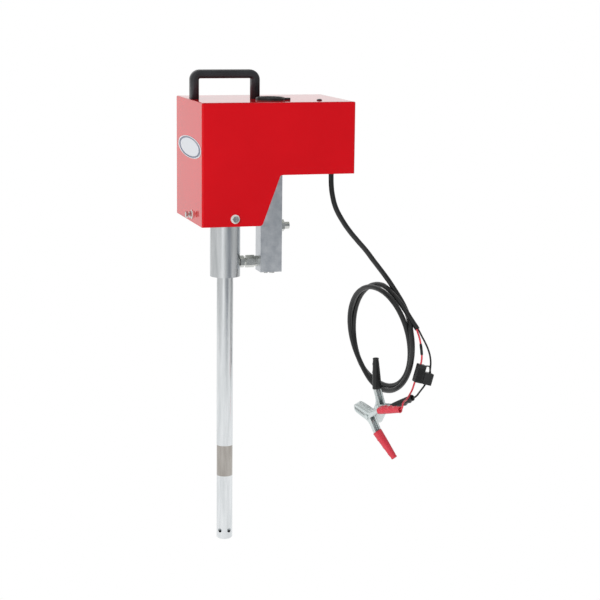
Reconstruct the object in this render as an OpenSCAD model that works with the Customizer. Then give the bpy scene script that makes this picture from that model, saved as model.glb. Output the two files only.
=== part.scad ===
// Electric grease pump for a drum: a battery motor drives a plunger at the foot of a long suction tube.
// Origin: on the axis of the suction tube, in the flat underside of the pump body.
// +X runs towards the overhanging motor end, +Y to the back, +Z up.

/* [Cover] */
// Length of the sheet cover, left to right
cover_w = 278; // [262:1:320]
// Depth of the sheet cover, front to back
cover_d = 205; // [196:1:240]
// Height of the sheet cover at its low end
cover_h = 216; // [206:1:240]
// Height of the overhanging motor end
head_h = 127; // [115:1:132]
// Underside of the cover above the underside of the pump body
cover_lift = 104; // [96:1:112]
// Tube axis to the left face of the cover
cover_left = 67; // [62:1:76]
// Length of the cover's low underside
skirt_w = 108.5; // [104:0.5:112]
// Run of the sloping rim between the low underside and the overhang
slope_run = 33; // [28:1:36]
// Thickness of the cover's sheet
sheet = 1.5; // [1:0.1:2]
// Outside bend radius of the cover's sheet
bend = 3; // [2.5:0.5:5]

/* [Chassis] */
// Thickness of the chassis plate
plate = 2; // [1.5:0.1:3]
// Height of the chassis plate's turned-up rim
flange_h = 26; // [22:1:32]
// Gap between the chassis and the cover all round
tray_gap = 0.3; // [0.2:0.1:0.6]
// How far the chassis plate stands inside the cover's rim
rim_gap = 1; // [0.5:0.1:2]

/* [Handle] */
// Leg spacing of the carry handle
handle_span = 114; // [100:1:120]
// Left leg of the handle from the left face of the cover
handle_inset = 8.5; // [8:0.5:16]
// Height of the handle above the cover
handle_h = 52; // [45:1:65]
// Width of the handle's bar, front to back
handle_bar_d = 22; // [18:1:26]
// Thickness of the handle's bar
handle_bar_t = 13; // [10:0.5:15]
// Outside corner radius of the handle
handle_corner = 18; // [15:1:22]

/* [Service plug] */
// Diameter of the plug's flange
plug_d = 52; // [48:1:54]
// Diameter of the hole that the plug closes
plug_hole_d = 44; // [40:1:45]
// Height of the plug's flange
plug_h = 5; // [4:0.5:7]
// Plug centre from the tube axis, to the right
plug_x = 72.5; // [72:0.5:90]
// Plug centre in front of the tube axis
plug_y = 38; // [36:0.5:48]

/* [Pump body] */
// Diameter of the pump body
body_d = 55; // [52:1:60]
// Radius of the circle of screws in the pump body's top
body_screw_circle = 21.5; // [20.5:0.5:22]
// Diameter of the grease chamber in the pump body
chamber_d = 20; // [18:0.5:24]
// Outside diameter of the rod packing
packing_d = 22; // [20:0.5:24]
// Height of the link ports above the body's underside
link_z = 25; // [24:0.5:32]

/* [Suction tube] */
// Outside diameter of the suction tube
tube_d = 30; // [29.4:0.1:32]
// Exposed length of the suction tube
tube_len = 317; // [200:1:600]
// Wall of the suction tube
tube_wall = 3; // [2.5:0.1:3.2]
// Length of the screwed spigot at each end of the tube
spigot_len = 18; // [12:1:18]
// Outside diameter of the pieces below the tube
string_d = 29.4; // [28:0.1:29.4]
// Length of the lock collar
collar_len = 5; // [4:0.5:8]
// Length of the dark pump cylinder
cylinder_len = 53; // [50:1:70]
// Length of the valve barrel
barrel_len = 39; // [34:1:50]
// Length of the foot
foot_len = 83; // [76:1:100]
// Diameter of an inlet hole in the foot
inlet_d = 8; // [6:0.5:9]
// Number of inlet holes round the foot
inlet_count = 5; // [4:1:6]
// Direction of the first inlet hole
inlet_turn = -68; // [-72:1:-60]

/* [Plunger] */
// Diameter of the piston rod
rod_d = 12; // [10:0.5:12.5]
// Bore of the pump cylinder
bore_d = 18; // [17:0.5:19]
// Length of the piston
piston_len = 22; // [20:0.5:23]
// Stroke of the piston
stroke = 15; // [12:0.5:15]
// Running clearance at each side of the rod, pin and piston
run = 0.05; // [0.03:0.01:0.08]

/* [Drive] */
// Diameter of the crank disc
crank_d = 38; // [36:0.5:40]
// Diameter of the gearbox's output shaft
shaft_d = 14; // [12:0.5:16]
// Diameter of the crank pin
pin_d = 8; // [7:0.5:9]
// Distance between the worm and the wheel
worm_centres = 36; // [36:0.5:38]
// Diameter of the motor
motor_d = 77; // [70:0.5:78]
// Length of the motor's can
motor_len = 104; // [90:1:120]
// Front face of the gearbox behind the rod's axis
gearbox_y = 30; // [29:0.5:32]

/* [Control block] */
// Width of the control block
block_w = 40; // [38:0.5:42]
// Depth of the control block
block_d = 35; // [32:0.5:38]
// Left face of the control block from the tube axis
block_x = 62; // [61:0.5:64]
// Underside of the control block above the body's underside
block_z = 6.5; // [4:0.5:8]
// Height of the outlet
outlet_z = 89; // [86:0.5:96]
// Thread diameter of the fittings
thread_d = 13.16; // [13:0.01:13.4]
// Size across flats of the fittings' hexagons
hex_af = 19; // [17:0.5:20]
// Length of the outlet's thread
outlet_len = 10; // [8:0.5:14]

/* [Lead] */
// Diameter of the battery cable
cable_d = 8; // [7:0.5:8.5]
// Diameter of the single leads
lead_d = 3.4; // [3:0.1:3.6]
// Radius of the coil's turns
coil_r = 98; // [94:1:102]

/* [Clamps] */
// Width of a clamp's outer lever
clamp_w = 17; // [16:0.5:20]
// Sheet thickness of the clamps
clamp_sheet = 1.2; // [1:0.1:1.4]
// Length of the jaws from the pivot
jaw_len = 36; // [34:1:40]
// Pitch of the jaw teeth
tooth_pitch = 4; // [3.5:0.1:4.5]
// Depth of the jaw teeth
tooth_depth = 2.2; // [1.5:0.1:2.5]
// Diameter of the pivot pin
pivot_d = 5; // [4:0.5:6]
// Length of a grip sleeve
sleeve_len = 56; // [48:1:58]

/* [Hidden] */
$fn = 48;

// Colours of the finishes
paint_red = "#d4101c";
satin_black = "#26272a";
rubber_black = "#1c1c1e";
zinc = "#c3c6c9";
aluminium = "#b4b8bb";
dark_steel = "#5b5e62";
brass_gold = "#b89a4e";
pvc_red = "#d83340";
nylon_white = "#e8e8e6";

// Places that follow from the sizes of the cover
left_x = -cover_left;
right_x = left_x + cover_w;
top_z = cover_lift + cover_h;
head_z = top_z - head_h;
slope_x0 = left_x + skirt_w;
slope_x1 = slope_x0 + slope_run;
half_d = cover_d / 2;
slope_angle = atan2(head_z - cover_lift, slope_run);
rim_corner = 6;
head_corner = 4;

// Screws: nominal diameter, clearance on it and head sizes
m6 = 6;
m6_head_d = 10;
m6_head_h = 6;
m5 = 5;
fit = 0.1;
hole_slack = 0.6;
washer_d = 16;
washer_t = 1.2;
cover_hex_af = 10;
cover_hex_h = 4;
cover_screw_len = 10;
screw_bite = 10;
handle_screw_bite = 13;
cover_screw_rise = 13.5;
side_screw_y = -25;
front_screw_x = -7.5;
weld_nut_af = 12;
weld_nut_h = 4;

// Levels of the inner frame
tray_z = cover_lift + rim_gap;
tray_top = tray_z + plate;
shelf_z = head_z + rim_gap;
shelf_top = shelf_z + plate;
bracket_t = 6;
bracket_top = tray_top + bracket_t;
wall_y = gearbox_y - bracket_t;
wall_half_w = 45;
base_half_w = 38;
base_front = 32;
wall_step_z = bracket_top + 15;
gland_hole_d = 30;
lug_half = 42;
lug_bolt = 33;
lug_t = 8;
corner_r = 5;

// Gearbox and motor
casing_r = 40;
casing_d = 36;
casing_cover_t = 5;
casing_cover_r = 38;
casing_screw_r = 34;
worm_y = gearbox_y + casing_d / 2;
motor_gap = 1.5;
worm_z = shelf_top + motor_gap + motor_d / 2;
crank_z = worm_z - worm_centres;
wall_top = crank_z + 45;
barrel_r = 17;
barrel_x0 = -34;
flange_x = 46;
flange_t = 8;
motor_x = flange_x + flange_t;
end_cap_t = 18;
end_cap_r = motor_d / 2 - 1.5;
brush_r = 6;
brush_out = 4;

// Crank, yoke and rod
crank_r = stroke / 2;
yoke_half_t = 6;
disc_gap = 5;
head_gap = 1;
disc_t = 7;
disc_y = yoke_half_t + disc_gap;
die_w = 18;
die_h = 16;
slot_slack = 1.8;
slot_end_gap = 1;
slot_half_w = crank_r + die_w / 2 + slot_end_gap;
slot_half_h = die_h / 2 + slot_slack;
yoke_rib = 9;
yoke_boss_d = 19;
yoke_boss_len = 20;
rod_screw_in = 14;
yoke_bottom = crank_z - slot_half_h - yoke_rib - yoke_boss_len;
pin_shoulder_d = 12;
pin_head_t = 1.5;
pin_press_len = 6;
bearing_d = 26;
bearing_len = 14;

// Levels down the tube
body_top = tray_z;
packing_z = 70;
seal_h = 14;
gland_hex_af = 24;
gland_hex_h = 8;
spigot_r = tube_d / 2 - 1.1;
inside_r = tube_d / 2 - tube_wall;
mouth_depth = 1;
lock_gap = 2.5;
collar_z = -tube_len;
cylinder_z = collar_z - collar_len;
barrel_z = cylinder_z - cylinder_len;
foot_z = barrel_z - barrel_len;
foot_bottom = foot_z - foot_len;
join_r = 11;
join_len = 8;
piston_top = cylinder_z - 13;
rod_neck_d = 8;
rod_neck_len = 6;
suction_ball_r = 6.5;
suction_seat_r = 5;
suction_lift = 3;
suction_seat_z = foot_z - 18;
suction_ball_z = suction_seat_z + sqrt(pow(suction_ball_r, 2) - pow(suction_seat_r, 2)) + run;
cage_r = suction_ball_r + 0.8;
seat_len = 8;
foot_bore_r = 8;
foot_chamfer = 2.5;
inlet_z = foot_bottom + 17;
discharge_ball_r = 4;
discharge_seat_r = 2.8;
discharge_lift = 2.5;
discharge_seat_z = piston_top - piston_len + 5;
discharge_ball_z = discharge_seat_z
    + sqrt(pow(discharge_ball_r, 2) - pow(discharge_seat_r, 2)) + run;
piston_cage_r = discharge_ball_r + 0.7;
seal_groove_t = 1.6;
seal_len = 5;

// Control block, its passages and relief valve
block_mid = block_x + block_w / 2;
gallery_x = block_x + 14.7;
relief_x = block_x + 26;
gallery_r = 3;
port_depth = 10;
port_r = thread_d / 2 + fit;
relief_screw_r = 5;
relief_screw_top = block_z + 18;
relief_bore_r = 4;
relief_seat_z = block_z + 53;
relief_cross_z = block_z + 60;
poppet_len = 10;
poppet_travel = 2;
plug_below = 4;
gallery_plug_r = 3.2;
block_bolt_x = [block_x + 22, block_x + 34];
notch_gap = 1;

// Fittings between the pump body and the control block
body_flat_x = 26.9;
nipple_hex_len = 7.6;
neck_r = 6.5;
nut_x = 38;
nut_len = 16;
nut_af = 20;
block_hex_len = 6.9;
outlet_hex_len = 7.7;
outlet_bore_r = 3.5;

// Grommet, breaker and leads inside the cover
grommet = [right_x - 15, -12];
grommet_neck_r = 8;
grommet_flange_r = 11;
grommet_flange_t = 2.5;
grommet_cone_len = 7;
breaker_at = [right_x - 54.5, -61];
breaker_size = [34, 22, 28];
top_screw_head_d = 9.5;
top_screw_head_h = 2.6;
inner_lead_r = 2;

// Route of the cable, from the grommet to the coil, and of the leads to the clamps.
// The round numbers are places that the lead hangs through.
cable_route = [[grommet[0], grommet[1], head_z + 3], [196, -12, 178], [195.4, -14, 160],
    [195.8, -18, 145], [199.2, -25, 122.5], [209.9, -29, 99], [223.7, -30, 79], [242.2, -27, 59.6],
    [261, -23, 40.3], [277, -20, 20.9], [289.9, -18.5, 5.2], [302.8, -19, -11.1], [310.2, -21, -21.3],
    [318, -25.5, -33.7], [324.4, -33, -45.9], [328.3, -43, -56.3], [329.9, -54.5, -65.2],
    [330, -67, -74.3], [328.8, -81, -84.5], [327.4, -94, -96.5]];
tail_route = [[307.4, -33, -32.7], [312.9, -52, -41.9], [318.2, -64, -51.2], [324, -73, -61.6],
    [328.7, -80.5, -71.7], [333.8, -88.5, -82.9], [338.2, -98, -96]];
red_upper_route = [[336.6, -98.6, -96.3], [337.8, -100.6, -100.6], [340.6, -103, -110.3],
    [342.5, -106, -122.1], [343.4, -108.5, -133.6], [343.6, -110.6, -142.5], [342.7, -112, -153.3],
    [341.1, -113, -158.8]];
black_route = [[339.9, -98.3, -96.6], [342.6, -99.2, -101.4], [346.6, -100, -109.3],
    [353.6, -100, -121.8], [360.7, -100, -137.2], [364.6, -100, -151.6], [365.3, -100.2, -166.7],
    [362.3, -101, -183.4], [354.7, -103, -199.5], [343.8, -112, -207.3], [335.4, -121.4, -210.7],
    [332.2, -126.3, -211.4], [329.9, -128.6, -212.6], [327.4, -129.1, -214.4], [325.2, -128, -216.4],
    [322.9, -123.5, -219.2], [320.9, -118.6, -222.1]];
red_lower_route = [[330.2, -113, -191.1], [329.4, -113, -194.1], [324.5, -116.5, -204.4],
    [317.7, -123, -211.1], [310.4, -131.5, -215.3], [303, -141.5, -217.5], [296.8, -151, -217.3],
    [291.9, -158.8, -217.4], [289.8, -162.4, -219.6], [289.2, -163.4, -223.2], [288.6, -161.9, -226.7],
    [287.3, -158.5, -228.9], [284.5, -151.2, -230.5]];
coil_centre = [302.3, -1, -128.5];
coil_turn = -74.9;
coil_tilt = 4.9;
coil_wide = 18;
coil_thick = 14;
coil_axis = [cos(coil_turn + 90), sin(coil_turn + 90), 0];

// Fuse holder: middle of its left side, and its lean
fuse_at = [331.4, -113, -173.8];
fuse_lean = 15.5;
holder_w = 15.5;
holder_h = 34;
holder_d = 13;
cap_w = 17.7;
cap_h = 22;
cap_d = 15;
cap_gap = 0.3;
cap_wall = 1.6;

// Clamps: pivot places and directions
red_pivot = [258, -74, -258.5];
red_turn = [-17.5, -20.5, 121];
black_pivot = [290.8, -43.8, -252.8];
black_turn = [180.5, 62, 112.3];
arm_bend = [-21, 26];
arm_end = [-69, 58];
arm_half = 4.5;
arm_dir = (arm_end - arm_bend) / norm(arm_end - arm_bend);
arm_out = [arm_dir[1], -arm_dir[0]];
lever_gap = 0.25;
inner_w = clamp_w - 2 * clamp_sheet - 2 * lever_gap;
lug_r = 6;
teeth_gap = 0.3;
first_tooth = 10;
spring_wire = 1.4;
spring_r = 4.3;
spring_turns = 5;
grip_wall = 1.6;
grip_over = 2;

// Points round each corner of an outline, with a radius for each corner
function turned(v, a) = [v[0] * cos(a) - v[1] * sin(a), v[0] * sin(a) + v[1] * cos(a)];
function unit(v) = v / norm(v);
function corner(p, at, q, r, steps) =
    let(a = unit(p - at), b = unit(q - at), open = acos(a * b),
        mid = at + unit(a + b) * r / sin(open / 2),
        from = at + a * r / tan(open / 2) - mid,
        side = a[0] * b[1] - a[1] * b[0] > 0 ? -1 : 1)
    [for (i = [0:steps]) mid + turned(from, side * (180 - open) * i / steps)];
function rounded(pts, radii, steps = 5) =
    [for (i = [0:len(pts) - 1])
        let(before = pts[(i + len(pts) - 1) % len(pts)], after = pts[(i + 1) % len(pts)])
        each radii[i] > 0 ? corner(before, pts[i], after, radii[i], steps) : [pts[i]]];
function box_outline(x0, x1, y0, y1, r) =
    rounded([[x0, y0], [x1, y0], [x1, y1], [x0, y1]], [r, r, r, r]);

// A solid through rings of points, each ring with as many points as the next
module loft(rings) {
    n = len(rings[0]);
    last = len(rings) - 1;
    polyhedron(
        points = [for (ring = rings) each ring],
        faces = concat(
            [[for (i = [0:n - 1]) i]],
            [for (k = [0:last - 1]) for (i = [0:n - 1])
                let(a = k * n + i, b = k * n + (i + 1) % n)
                each [[a, a + n, b + n], [a, b + n, b]]],
            [[for (i = [n - 1:-1:0]) last * n + i]]),
        convexity = 4);
}

// A round cord along a route; side is any direction that the route never follows
function heading(route, k) = unit(route[min(k + 1, len(route) - 1)] - route[max(k - 1, 0)]);
function cord_ring(at, dir, side, r, n) =
    let(u = unit(cross(side, dir)), v = cross(dir, u))
    [for (i = [0:n - 1]) at + r * (cos(360 * i / n) * u + sin(360 * i / n) * v)];
module cord(route, d, side, n = 8)
    loft([for (k = [0:len(route) - 1]) cord_ring(route[k], heading(route, k), side, d / 2, n)]);

// Extrusions along Y and X of an outline drawn in XZ and in YZ
module along_y(y0, y1) translate([0, y1, 0]) rotate([90, 0, 0]) linear_extrude(y1 - y0) children();
module along_x(x0, x1) translate([x0, 0, 0]) rotate([90, 0, 90]) linear_extrude(x1 - x0) children();
module rod_y(x, z, y0, y1, d) translate([x, y0, z]) rotate([-90, 0, 0]) cylinder(h = y1 - y0, d = d);
module rod_x(y, z, x0, x1, d) translate([x0, y, z]) rotate([0, 90, 0]) cylinder(h = x1 - x0, d = d);
module hex_x(z, x0, x1, af)
    translate([x0, 0, z]) rotate([0, 90, 0]) cylinder(h = x1 - x0, d = af / cos(30), $fn = 6);
module up(z) translate([0, 0, z]) children();

// A box with all its edges rounded
module soft_box(x0, x1, y0, y1, z0, z1, r) intersection() {
    along_y(y0, y1) polygon(box_outline(x0, x1, z0, z1, r));
    along_x(x0, x1) polygon(box_outline(y0, y1, z0, z1, r));
    up(z0) linear_extrude(z1 - z0) polygon(box_outline(x0, x1, y0, y1, r));
}

// Places of the screws that hold the cover, each with +Z pointing out of the sheet
module at_cover_screws() {
    z = cover_lift + cover_screw_rise;
    translate([left_x, side_screw_y, z]) rotate([0, -90, 0]) children();
    translate([front_screw_x, -half_d, z]) rotate([90, 0, 0]) children();
    translate([front_screw_x, half_d, z]) rotate([-90, 0, 0]) children();
    translate([right_x, side_screw_y, head_z + cover_screw_rise]) rotate([0, 90, 0]) children();
}
module at_handle_legs() for (x = [0, handle_span])
    translate([left_x + handle_inset + x, 0, top_z]) children();
module at_body_screws() for (a = [45:90:315]) rotate(a) translate([body_screw_circle, 0, 0]) children();
module at_lug_bolts() for (x = [-lug_bolt, lug_bolt]) for (z = [-lug_bolt, lug_bolt])
    translate([x, 0, crank_z + z]) children();

// Red sheet cover, open below, with its profile cut back under the overhang
module cover() color(paint_red) difference() {
    intersection() {
        soft_box(left_x, right_x, -half_d, half_d, cover_lift - 2 * bend, top_z, bend);
        along_y(-half_d - 1, half_d + 1) polygon(rounded(
            [[left_x - 1, cover_lift], [slope_x0, cover_lift], [slope_x1, head_z],
                [right_x + 1, head_z], [right_x + 1, top_z + 1], [left_x - 1, top_z + 1]],
            [0, rim_corner, head_corner, 0, 0, 0]));
    }
    soft_box(left_x + sheet, right_x - sheet, -half_d + sheet, half_d - sheet,
        cover_lift - 3 * bend, top_z - sheet, bend - sheet);
    at_cover_screws() up(-sheet - 1) cylinder(h = sheet + 2, d = m6 + hole_slack);
    at_handle_legs() up(-sheet - 1) cylinder(h = sheet + 2, d = m6 + hole_slack);
    translate([plug_x, -plug_y, top_z - sheet - 1]) cylinder(h = sheet + 2, d = plug_hole_d);
    translate([breaker_at[0], breaker_at[1], top_z - sheet - 1])
        cylinder(h = sheet + 2, d = m5 + hole_slack);
}

// Line of the open underside, moved up into the cover by e
function underside(x0, x1, e) = let(k = tan(slope_angle / 2))
    [[x0, cover_lift + e], [slope_x0 - e * k, cover_lift + e], [slope_x1 - e * k, head_z + e],
        [x1, head_z + e]];
function reversed(list) = [for (i = [len(list) - 1:-1:0]) list[i]];
module tray(inset, e0, e1) {
    x0 = left_x + sheet + tray_gap + inset;
    x1 = right_x - sheet - tray_gap - inset;
    y = half_d - sheet - tray_gap - inset;
    along_y(-y, y) polygon(concat(underside(x0, x1, e0), reversed(underside(x0, x1, e1))));
}

// Folded steel tray that closes the cover from below and carries the drive and the blocks
module chassis_plate() color(zinc) difference() {
    union() {
        difference() {
            tray(0, rim_gap, rim_gap + flange_h);
            tray(plate, rim_gap + plate, rim_gap + flange_h + 1);
        }
        at_cover_screws() up(-sheet - tray_gap - plate - weld_nut_h)
            cylinder(h = weld_nut_h, d = weld_nut_af / cos(30), $fn = 6);
    }
    at_cover_screws() up(-sheet - tray_gap - plate - weld_nut_h - 1)
        cylinder(h = plate + weld_nut_h + 2, d = m6 + 2 * fit);
    up(tray_z - 1) cylinder(h = plate + 2, d = gland_hole_d);
    up(tray_z - 1) at_body_screws() cylinder(h = plate + 2, d = m6 + hole_slack);
    translate([block_x - notch_gap, -block_d / 2 - notch_gap, tray_z + flange_h + 4])
        cube([slope_x1 - block_x + notch_gap, block_d + 2 * notch_gap,
            shelf_z - tray_z - flange_h - 4]);
    for (x = block_bolt_x) translate([x, 0, shelf_z - 1]) cylinder(h = plate + 2, d = m6 + hole_slack);
    translate([grommet[0], grommet[1], shelf_z - 1]) cylinder(h = plate + 2, r = grommet_neck_r + fit);
}

// Moulded bridge handle: one oval bar bent through two round corners
function oval(w, d, n) = [for (i = [0:n - 1]) let(a = 360 * i / n)
    [w / 2 * sign(cos(a)) * pow(abs(cos(a)), 0.6), d / 2 * sign(sin(a)) * pow(abs(sin(a)), 0.6)]];
module carry_handle() {
    x0 = left_x + handle_inset;
    turn_r = handle_corner - handle_bar_t / 2;
    bar_z = top_z + handle_h - handle_bar_t / 2;
    sides = 28;
    steps = 7;
    left = concat([[x0, top_z, 0]],
        [for (i = [0:steps]) let(a = 90 * i / steps)
            [x0 + turn_r - turn_r * cos(a), bar_z - turn_r + turn_r * sin(a), a]]);
    right = [for (p = reversed(left)) [2 * x0 + handle_span - p[0], p[1], 180 - p[2]]];
    function ring(p) = [for (q = oval(handle_bar_t, handle_bar_d, sides))
        [p[0] - q[0] * cos(p[2]), q[1], p[1] + q[0] * sin(p[2])]];
    color(satin_black) difference() {
        loft([for (p = concat(left, right)) ring(p)]);
        at_handle_legs() up(-1) cylinder(h = handle_screw_bite + 3, d = m6 + 2 * fit);
    }
}

module handle_screws() color(zinc) at_handle_legs() {
    up(-sheet - m6_head_h) cylinder(h = m6_head_h, d = m6_head_d);
    up(-sheet) cylinder(h = sheet + handle_screw_bite, d = m6);
}

// The left screw is longer: its first hexagon is a lock nut, and its head stands off on the shank
module cover_screws() color(zinc) {
    head_at = washer_t + cover_hex_h + lock_gap;
    at_cover_screws() {
        up(washer_t) cylinder(h = cover_hex_h, d = cover_hex_af / cos(30), $fn = 6);
        up(washer_t - cover_screw_len) cylinder(h = cover_screw_len, d = m6);
    }
    translate([left_x, side_screw_y, cover_lift + cover_screw_rise]) rotate([0, -90, 0]) {
        up(washer_t) cylinder(h = head_at - washer_t + 1, d = m6);
        up(head_at) cylinder(h = cover_hex_h, d = cover_hex_af / cos(30), $fn = 6);
    }
}

module cover_washers() color(nylon_white) at_cover_screws() difference() {
    cylinder(h = washer_t, d = washer_d);
    up(-1) cylinder(h = washer_t + 2, d = m6 + 2 * fit);
}

// Small button-head screw that carries the breaker under the top
module top_screw() color(dark_steel) translate([breaker_at[0], breaker_at[1], top_z]) {
    difference() {
        intersection() {
            cylinder(h = top_screw_head_h, d = top_screw_head_d);
            up(top_screw_head_h - top_screw_head_d) sphere(r = top_screw_head_d);
        }
        up(1.2) cylinder(h = top_screw_head_h, d = 3 / cos(30), $fn = 6);
    }
    up(-sheet - 8) cylinder(h = sheet + 8, d = m5);
}

// Push-in rubber plug with a raised rim, a pull tab and a thumb notch
module service_plug() color(rubber_black) translate([plug_x, -plug_y, top_z]) {
    flange_r = plug_d / 2;
    skirt_r = plug_hole_d / 2 - 2 * fit;
    floor_z = plug_h / 2;
    tab_len = 11;
    tab_w = 10;
    difference() {
        union() {
            rotate_extrude() polygon([[0, 0.8], [0, floor_z], [flange_r - 4, floor_z],
                [flange_r - 3, plug_h], [flange_r - 1.2, plug_h], [flange_r, plug_h - 1.2], [flange_r, 0],
                [skirt_r, 0], [skirt_r, -sheet - fit], [skirt_r + 0.8, -sheet - 1], [skirt_r - 0.4, -8],
                [skirt_r - 2, -8], [skirt_r - 2, 0.8]]);
            translate([flange_r - 1.5, -tab_w / 2, 0]) cube([tab_len - tab_w / 2 + 1.5, tab_w, 3.5]);
            translate([flange_r + tab_len - tab_w / 2, 0, 0]) cylinder(h = 3.5, d = tab_w);
        }
        rotate(-52) translate([flange_r + 2, 0, -0.1]) cylinder(h = 2.2, r = 5);
    }
}

module cable_grommet() color(rubber_black) translate([grommet[0], grommet[1], shelf_z]) difference() {
    union() {
        up(-grommet_flange_t) cylinder(h = grommet_flange_t, r = grommet_flange_r);
        up(-grommet_flange_t) cylinder(h = grommet_flange_t + plate + 1, r = grommet_neck_r);
        up(plate + fit) cylinder(h = 2, r1 = grommet_flange_r - 1, r2 = grommet_neck_r);
        up(-grommet_flange_t - grommet_cone_len)
            cylinder(h = grommet_cone_len, r1 = cable_d / 2 + 1.4, r2 = cable_d / 2 + 3.2);
    }
    up(-20) cylinder(h = 30, d = cable_d);
}

// Thermal breaker that hangs under the top, with its two blade terminals
module thermal_breaker() color(satin_black) translate([breaker_at[0], breaker_at[1], top_z - sheet])
    difference() {
        union() {
            up(-breaker_size[2]) linear_extrude(breaker_size[2])
                polygon(box_outline(-breaker_size[0] / 2, breaker_size[0] / 2,
                    -breaker_size[1] / 2, breaker_size[1] / 2, 3));
            for (x = [-8, 8]) translate([x - 3, -0.4, -breaker_size[2] - 8]) cube([6, 0.8, 9]);
        }
        up(-10) cylinder(h = 11, d = m5 + 2 * fit);
    }

// Two leads inside the cover: cable to breaker, and breaker to motor
module inner_leads() color(pvc_red) {
    lead_z = top_z - sheet - breaker_size[2];
    end_x = motor_x + motor_len + end_cap_t;
    gx = grommet[0];
    gy = grommet[1];
    bx = breaker_at[0];
    by = breaker_at[1];
    cord([[gx, gy, head_z + 3.4], [gx, gy, head_z + 22], [gx - 2, gy - 10, worm_z + 4],
        [gx - 10, gy - 26, lead_z - 28], [bx + 20, by + 9, lead_z - 14], [bx + 8, by + 2.5, lead_z - 4]],
        2 * inner_lead_r, [1, 0.3, 0]);
    cord([[bx - 8, by + 2.5, lead_z - 4], [bx - 6, by + 5, lead_z - 14], [bx, by + 21, lead_z - 28],
        [end_x - 4, by + 47, worm_z + 16], [end_x + 10, by + 73, worm_z + 10],
        [end_x + 14, by + 97, worm_z + 4], [end_x + 7, worm_y - 6, worm_z],
        [end_x + 0.3, worm_y - 6, worm_z]],
        2 * inner_lead_r, [0, 0, 1]);
}

module motor_can() color(dark_steel) difference() {
    rod_x(worm_y, worm_z, motor_x, motor_x + motor_len, motor_d);
    rod_x(worm_y, worm_z, motor_x - 1, motor_x + 4, motor_d - 8);
}

// End cap with its bearing boss and two brush holders
module motor_end_cap() color(satin_black) {
    x0 = motor_x + motor_len;
    rod_x(worm_y, worm_z, x0, x0 + end_cap_t - 4, 2 * end_cap_r);
    rod_x(worm_y, worm_z, x0 + end_cap_t - 4, x0 + end_cap_t, motor_d / 2);
    translate([x0 + end_cap_t / 2 - 2, worm_y, worm_z]) rotate([45, 0, 0])
        cylinder(h = 2 * (end_cap_r + brush_out), r = brush_r, center = true);
}

// Cast housing of the worm gear, with a square mounting face and a flange for the motor
module gearbox_housing() color(aluminium) difference() {
    union() {
        rod_y(0, crank_z, gearbox_y, gearbox_y + casing_d, 2 * casing_r);
        along_y(gearbox_y, gearbox_y + lug_t) polygon(box_outline(-lug_half, lug_half,
            crank_z - lug_half, crank_z + lug_half, corner_r));
        rod_x(worm_y, worm_z, barrel_x0, flange_x + 1, 2 * barrel_r);
        rod_x(worm_y, worm_z, flange_x, motor_x, motor_d);
    }
    rod_y(0, crank_z, gearbox_y - 1, gearbox_y + bearing_len, bearing_d);
    rod_y(0, crank_z, gearbox_y + bearing_len - 1, gearbox_y + casing_d - 4, shaft_d + 2);
    at_lug_bolts() translate([0, gearbox_y - 1, 0]) rotate([-90, 0, 0])
        cylinder(h = lug_t + 2, d = m6 + 2 * fit);
    for (a = [0:60:300]) translate([casing_screw_r * cos(a), gearbox_y + casing_d - 12,
        crank_z + casing_screw_r * sin(a)]) rotate([-90, 0, 0]) cylinder(h = 13, d = m6 + 2 * fit);
}

module gearbox_cover() color(aluminium) difference() {
    union() {
        rod_y(0, crank_z, gearbox_y + casing_d, gearbox_y + casing_d + casing_cover_t,
            2 * casing_cover_r + 3);
        rod_y(0, crank_z, gearbox_y + casing_d, gearbox_y + casing_d + casing_cover_t + 4, 36);
    }
    for (a = [0:60:300]) translate([casing_screw_r * cos(a), gearbox_y + casing_d - 1,
        crank_z + casing_screw_r * sin(a)]) rotate([-90, 0, 0])
            cylinder(h = casing_cover_t + 2, d = m6 + hole_slack);
}

// Angle plate: its base is clamped on the pump body and its wall carries the gearbox
module drive_bracket() color(zinc) difference() {
    union() {
        translate([-base_half_w, -base_front, tray_top])
            cube([2 * base_half_w, base_front + gearbox_y, bracket_t]);
        along_y(wall_y, gearbox_y) polygon(rounded([[-base_half_w, tray_top], [base_half_w, tray_top],
            [base_half_w, wall_step_z], [wall_half_w, wall_step_z + 7], [wall_half_w, wall_top],
            [-wall_half_w, wall_top], [-wall_half_w, wall_step_z + 7], [-base_half_w, wall_step_z]],
            [0, 0, 0, 0, corner_r, corner_r, 0, 0]));
    }
    up(tray_top - 1) cylinder(h = bracket_t + 2, d = gland_hole_d);
    up(tray_top - 1) at_body_screws() cylinder(h = bracket_t + 2, d = m6 + hole_slack);
    rod_y(0, crank_z, wall_y - 1, gearbox_y + 1, bearing_d + 4);
    at_lug_bolts() translate([0, wall_y - 1, 0]) rotate([-90, 0, 0])
        cylinder(h = bracket_t + 2, d = m6 + hole_slack);
}

// One kind of socket screw, with its head on z = 0 and its shank below
module socket_screw(len) {
    difference() {
        cylinder(h = m6_head_h, d = m6_head_d);
        up(m6_head_h - 3) cylinder(h = 4, d = 5 / cos(30), $fn = 6);
    }
    up(-len) cylinder(h = len, d = m6);
}
module frame_screws() color(dark_steel) {
    up(bracket_top) at_body_screws() socket_screw(bracket_t + plate + screw_bite);
    at_lug_bolts() translate([0, wall_y, 0]) rotate([90, 0, 0]) socket_screw(bracket_t + lug_t);
    for (a = [0:60:300]) translate([casing_screw_r * cos(a), gearbox_y + casing_d + casing_cover_t,
        crank_z + casing_screw_r * sin(a)]) rotate([-90, 0, 0]) socket_screw(casing_cover_t + screw_bite);
    for (x = block_bolt_x) translate([x, 0, shelf_top]) socket_screw(plate + screw_bite);
}

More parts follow.
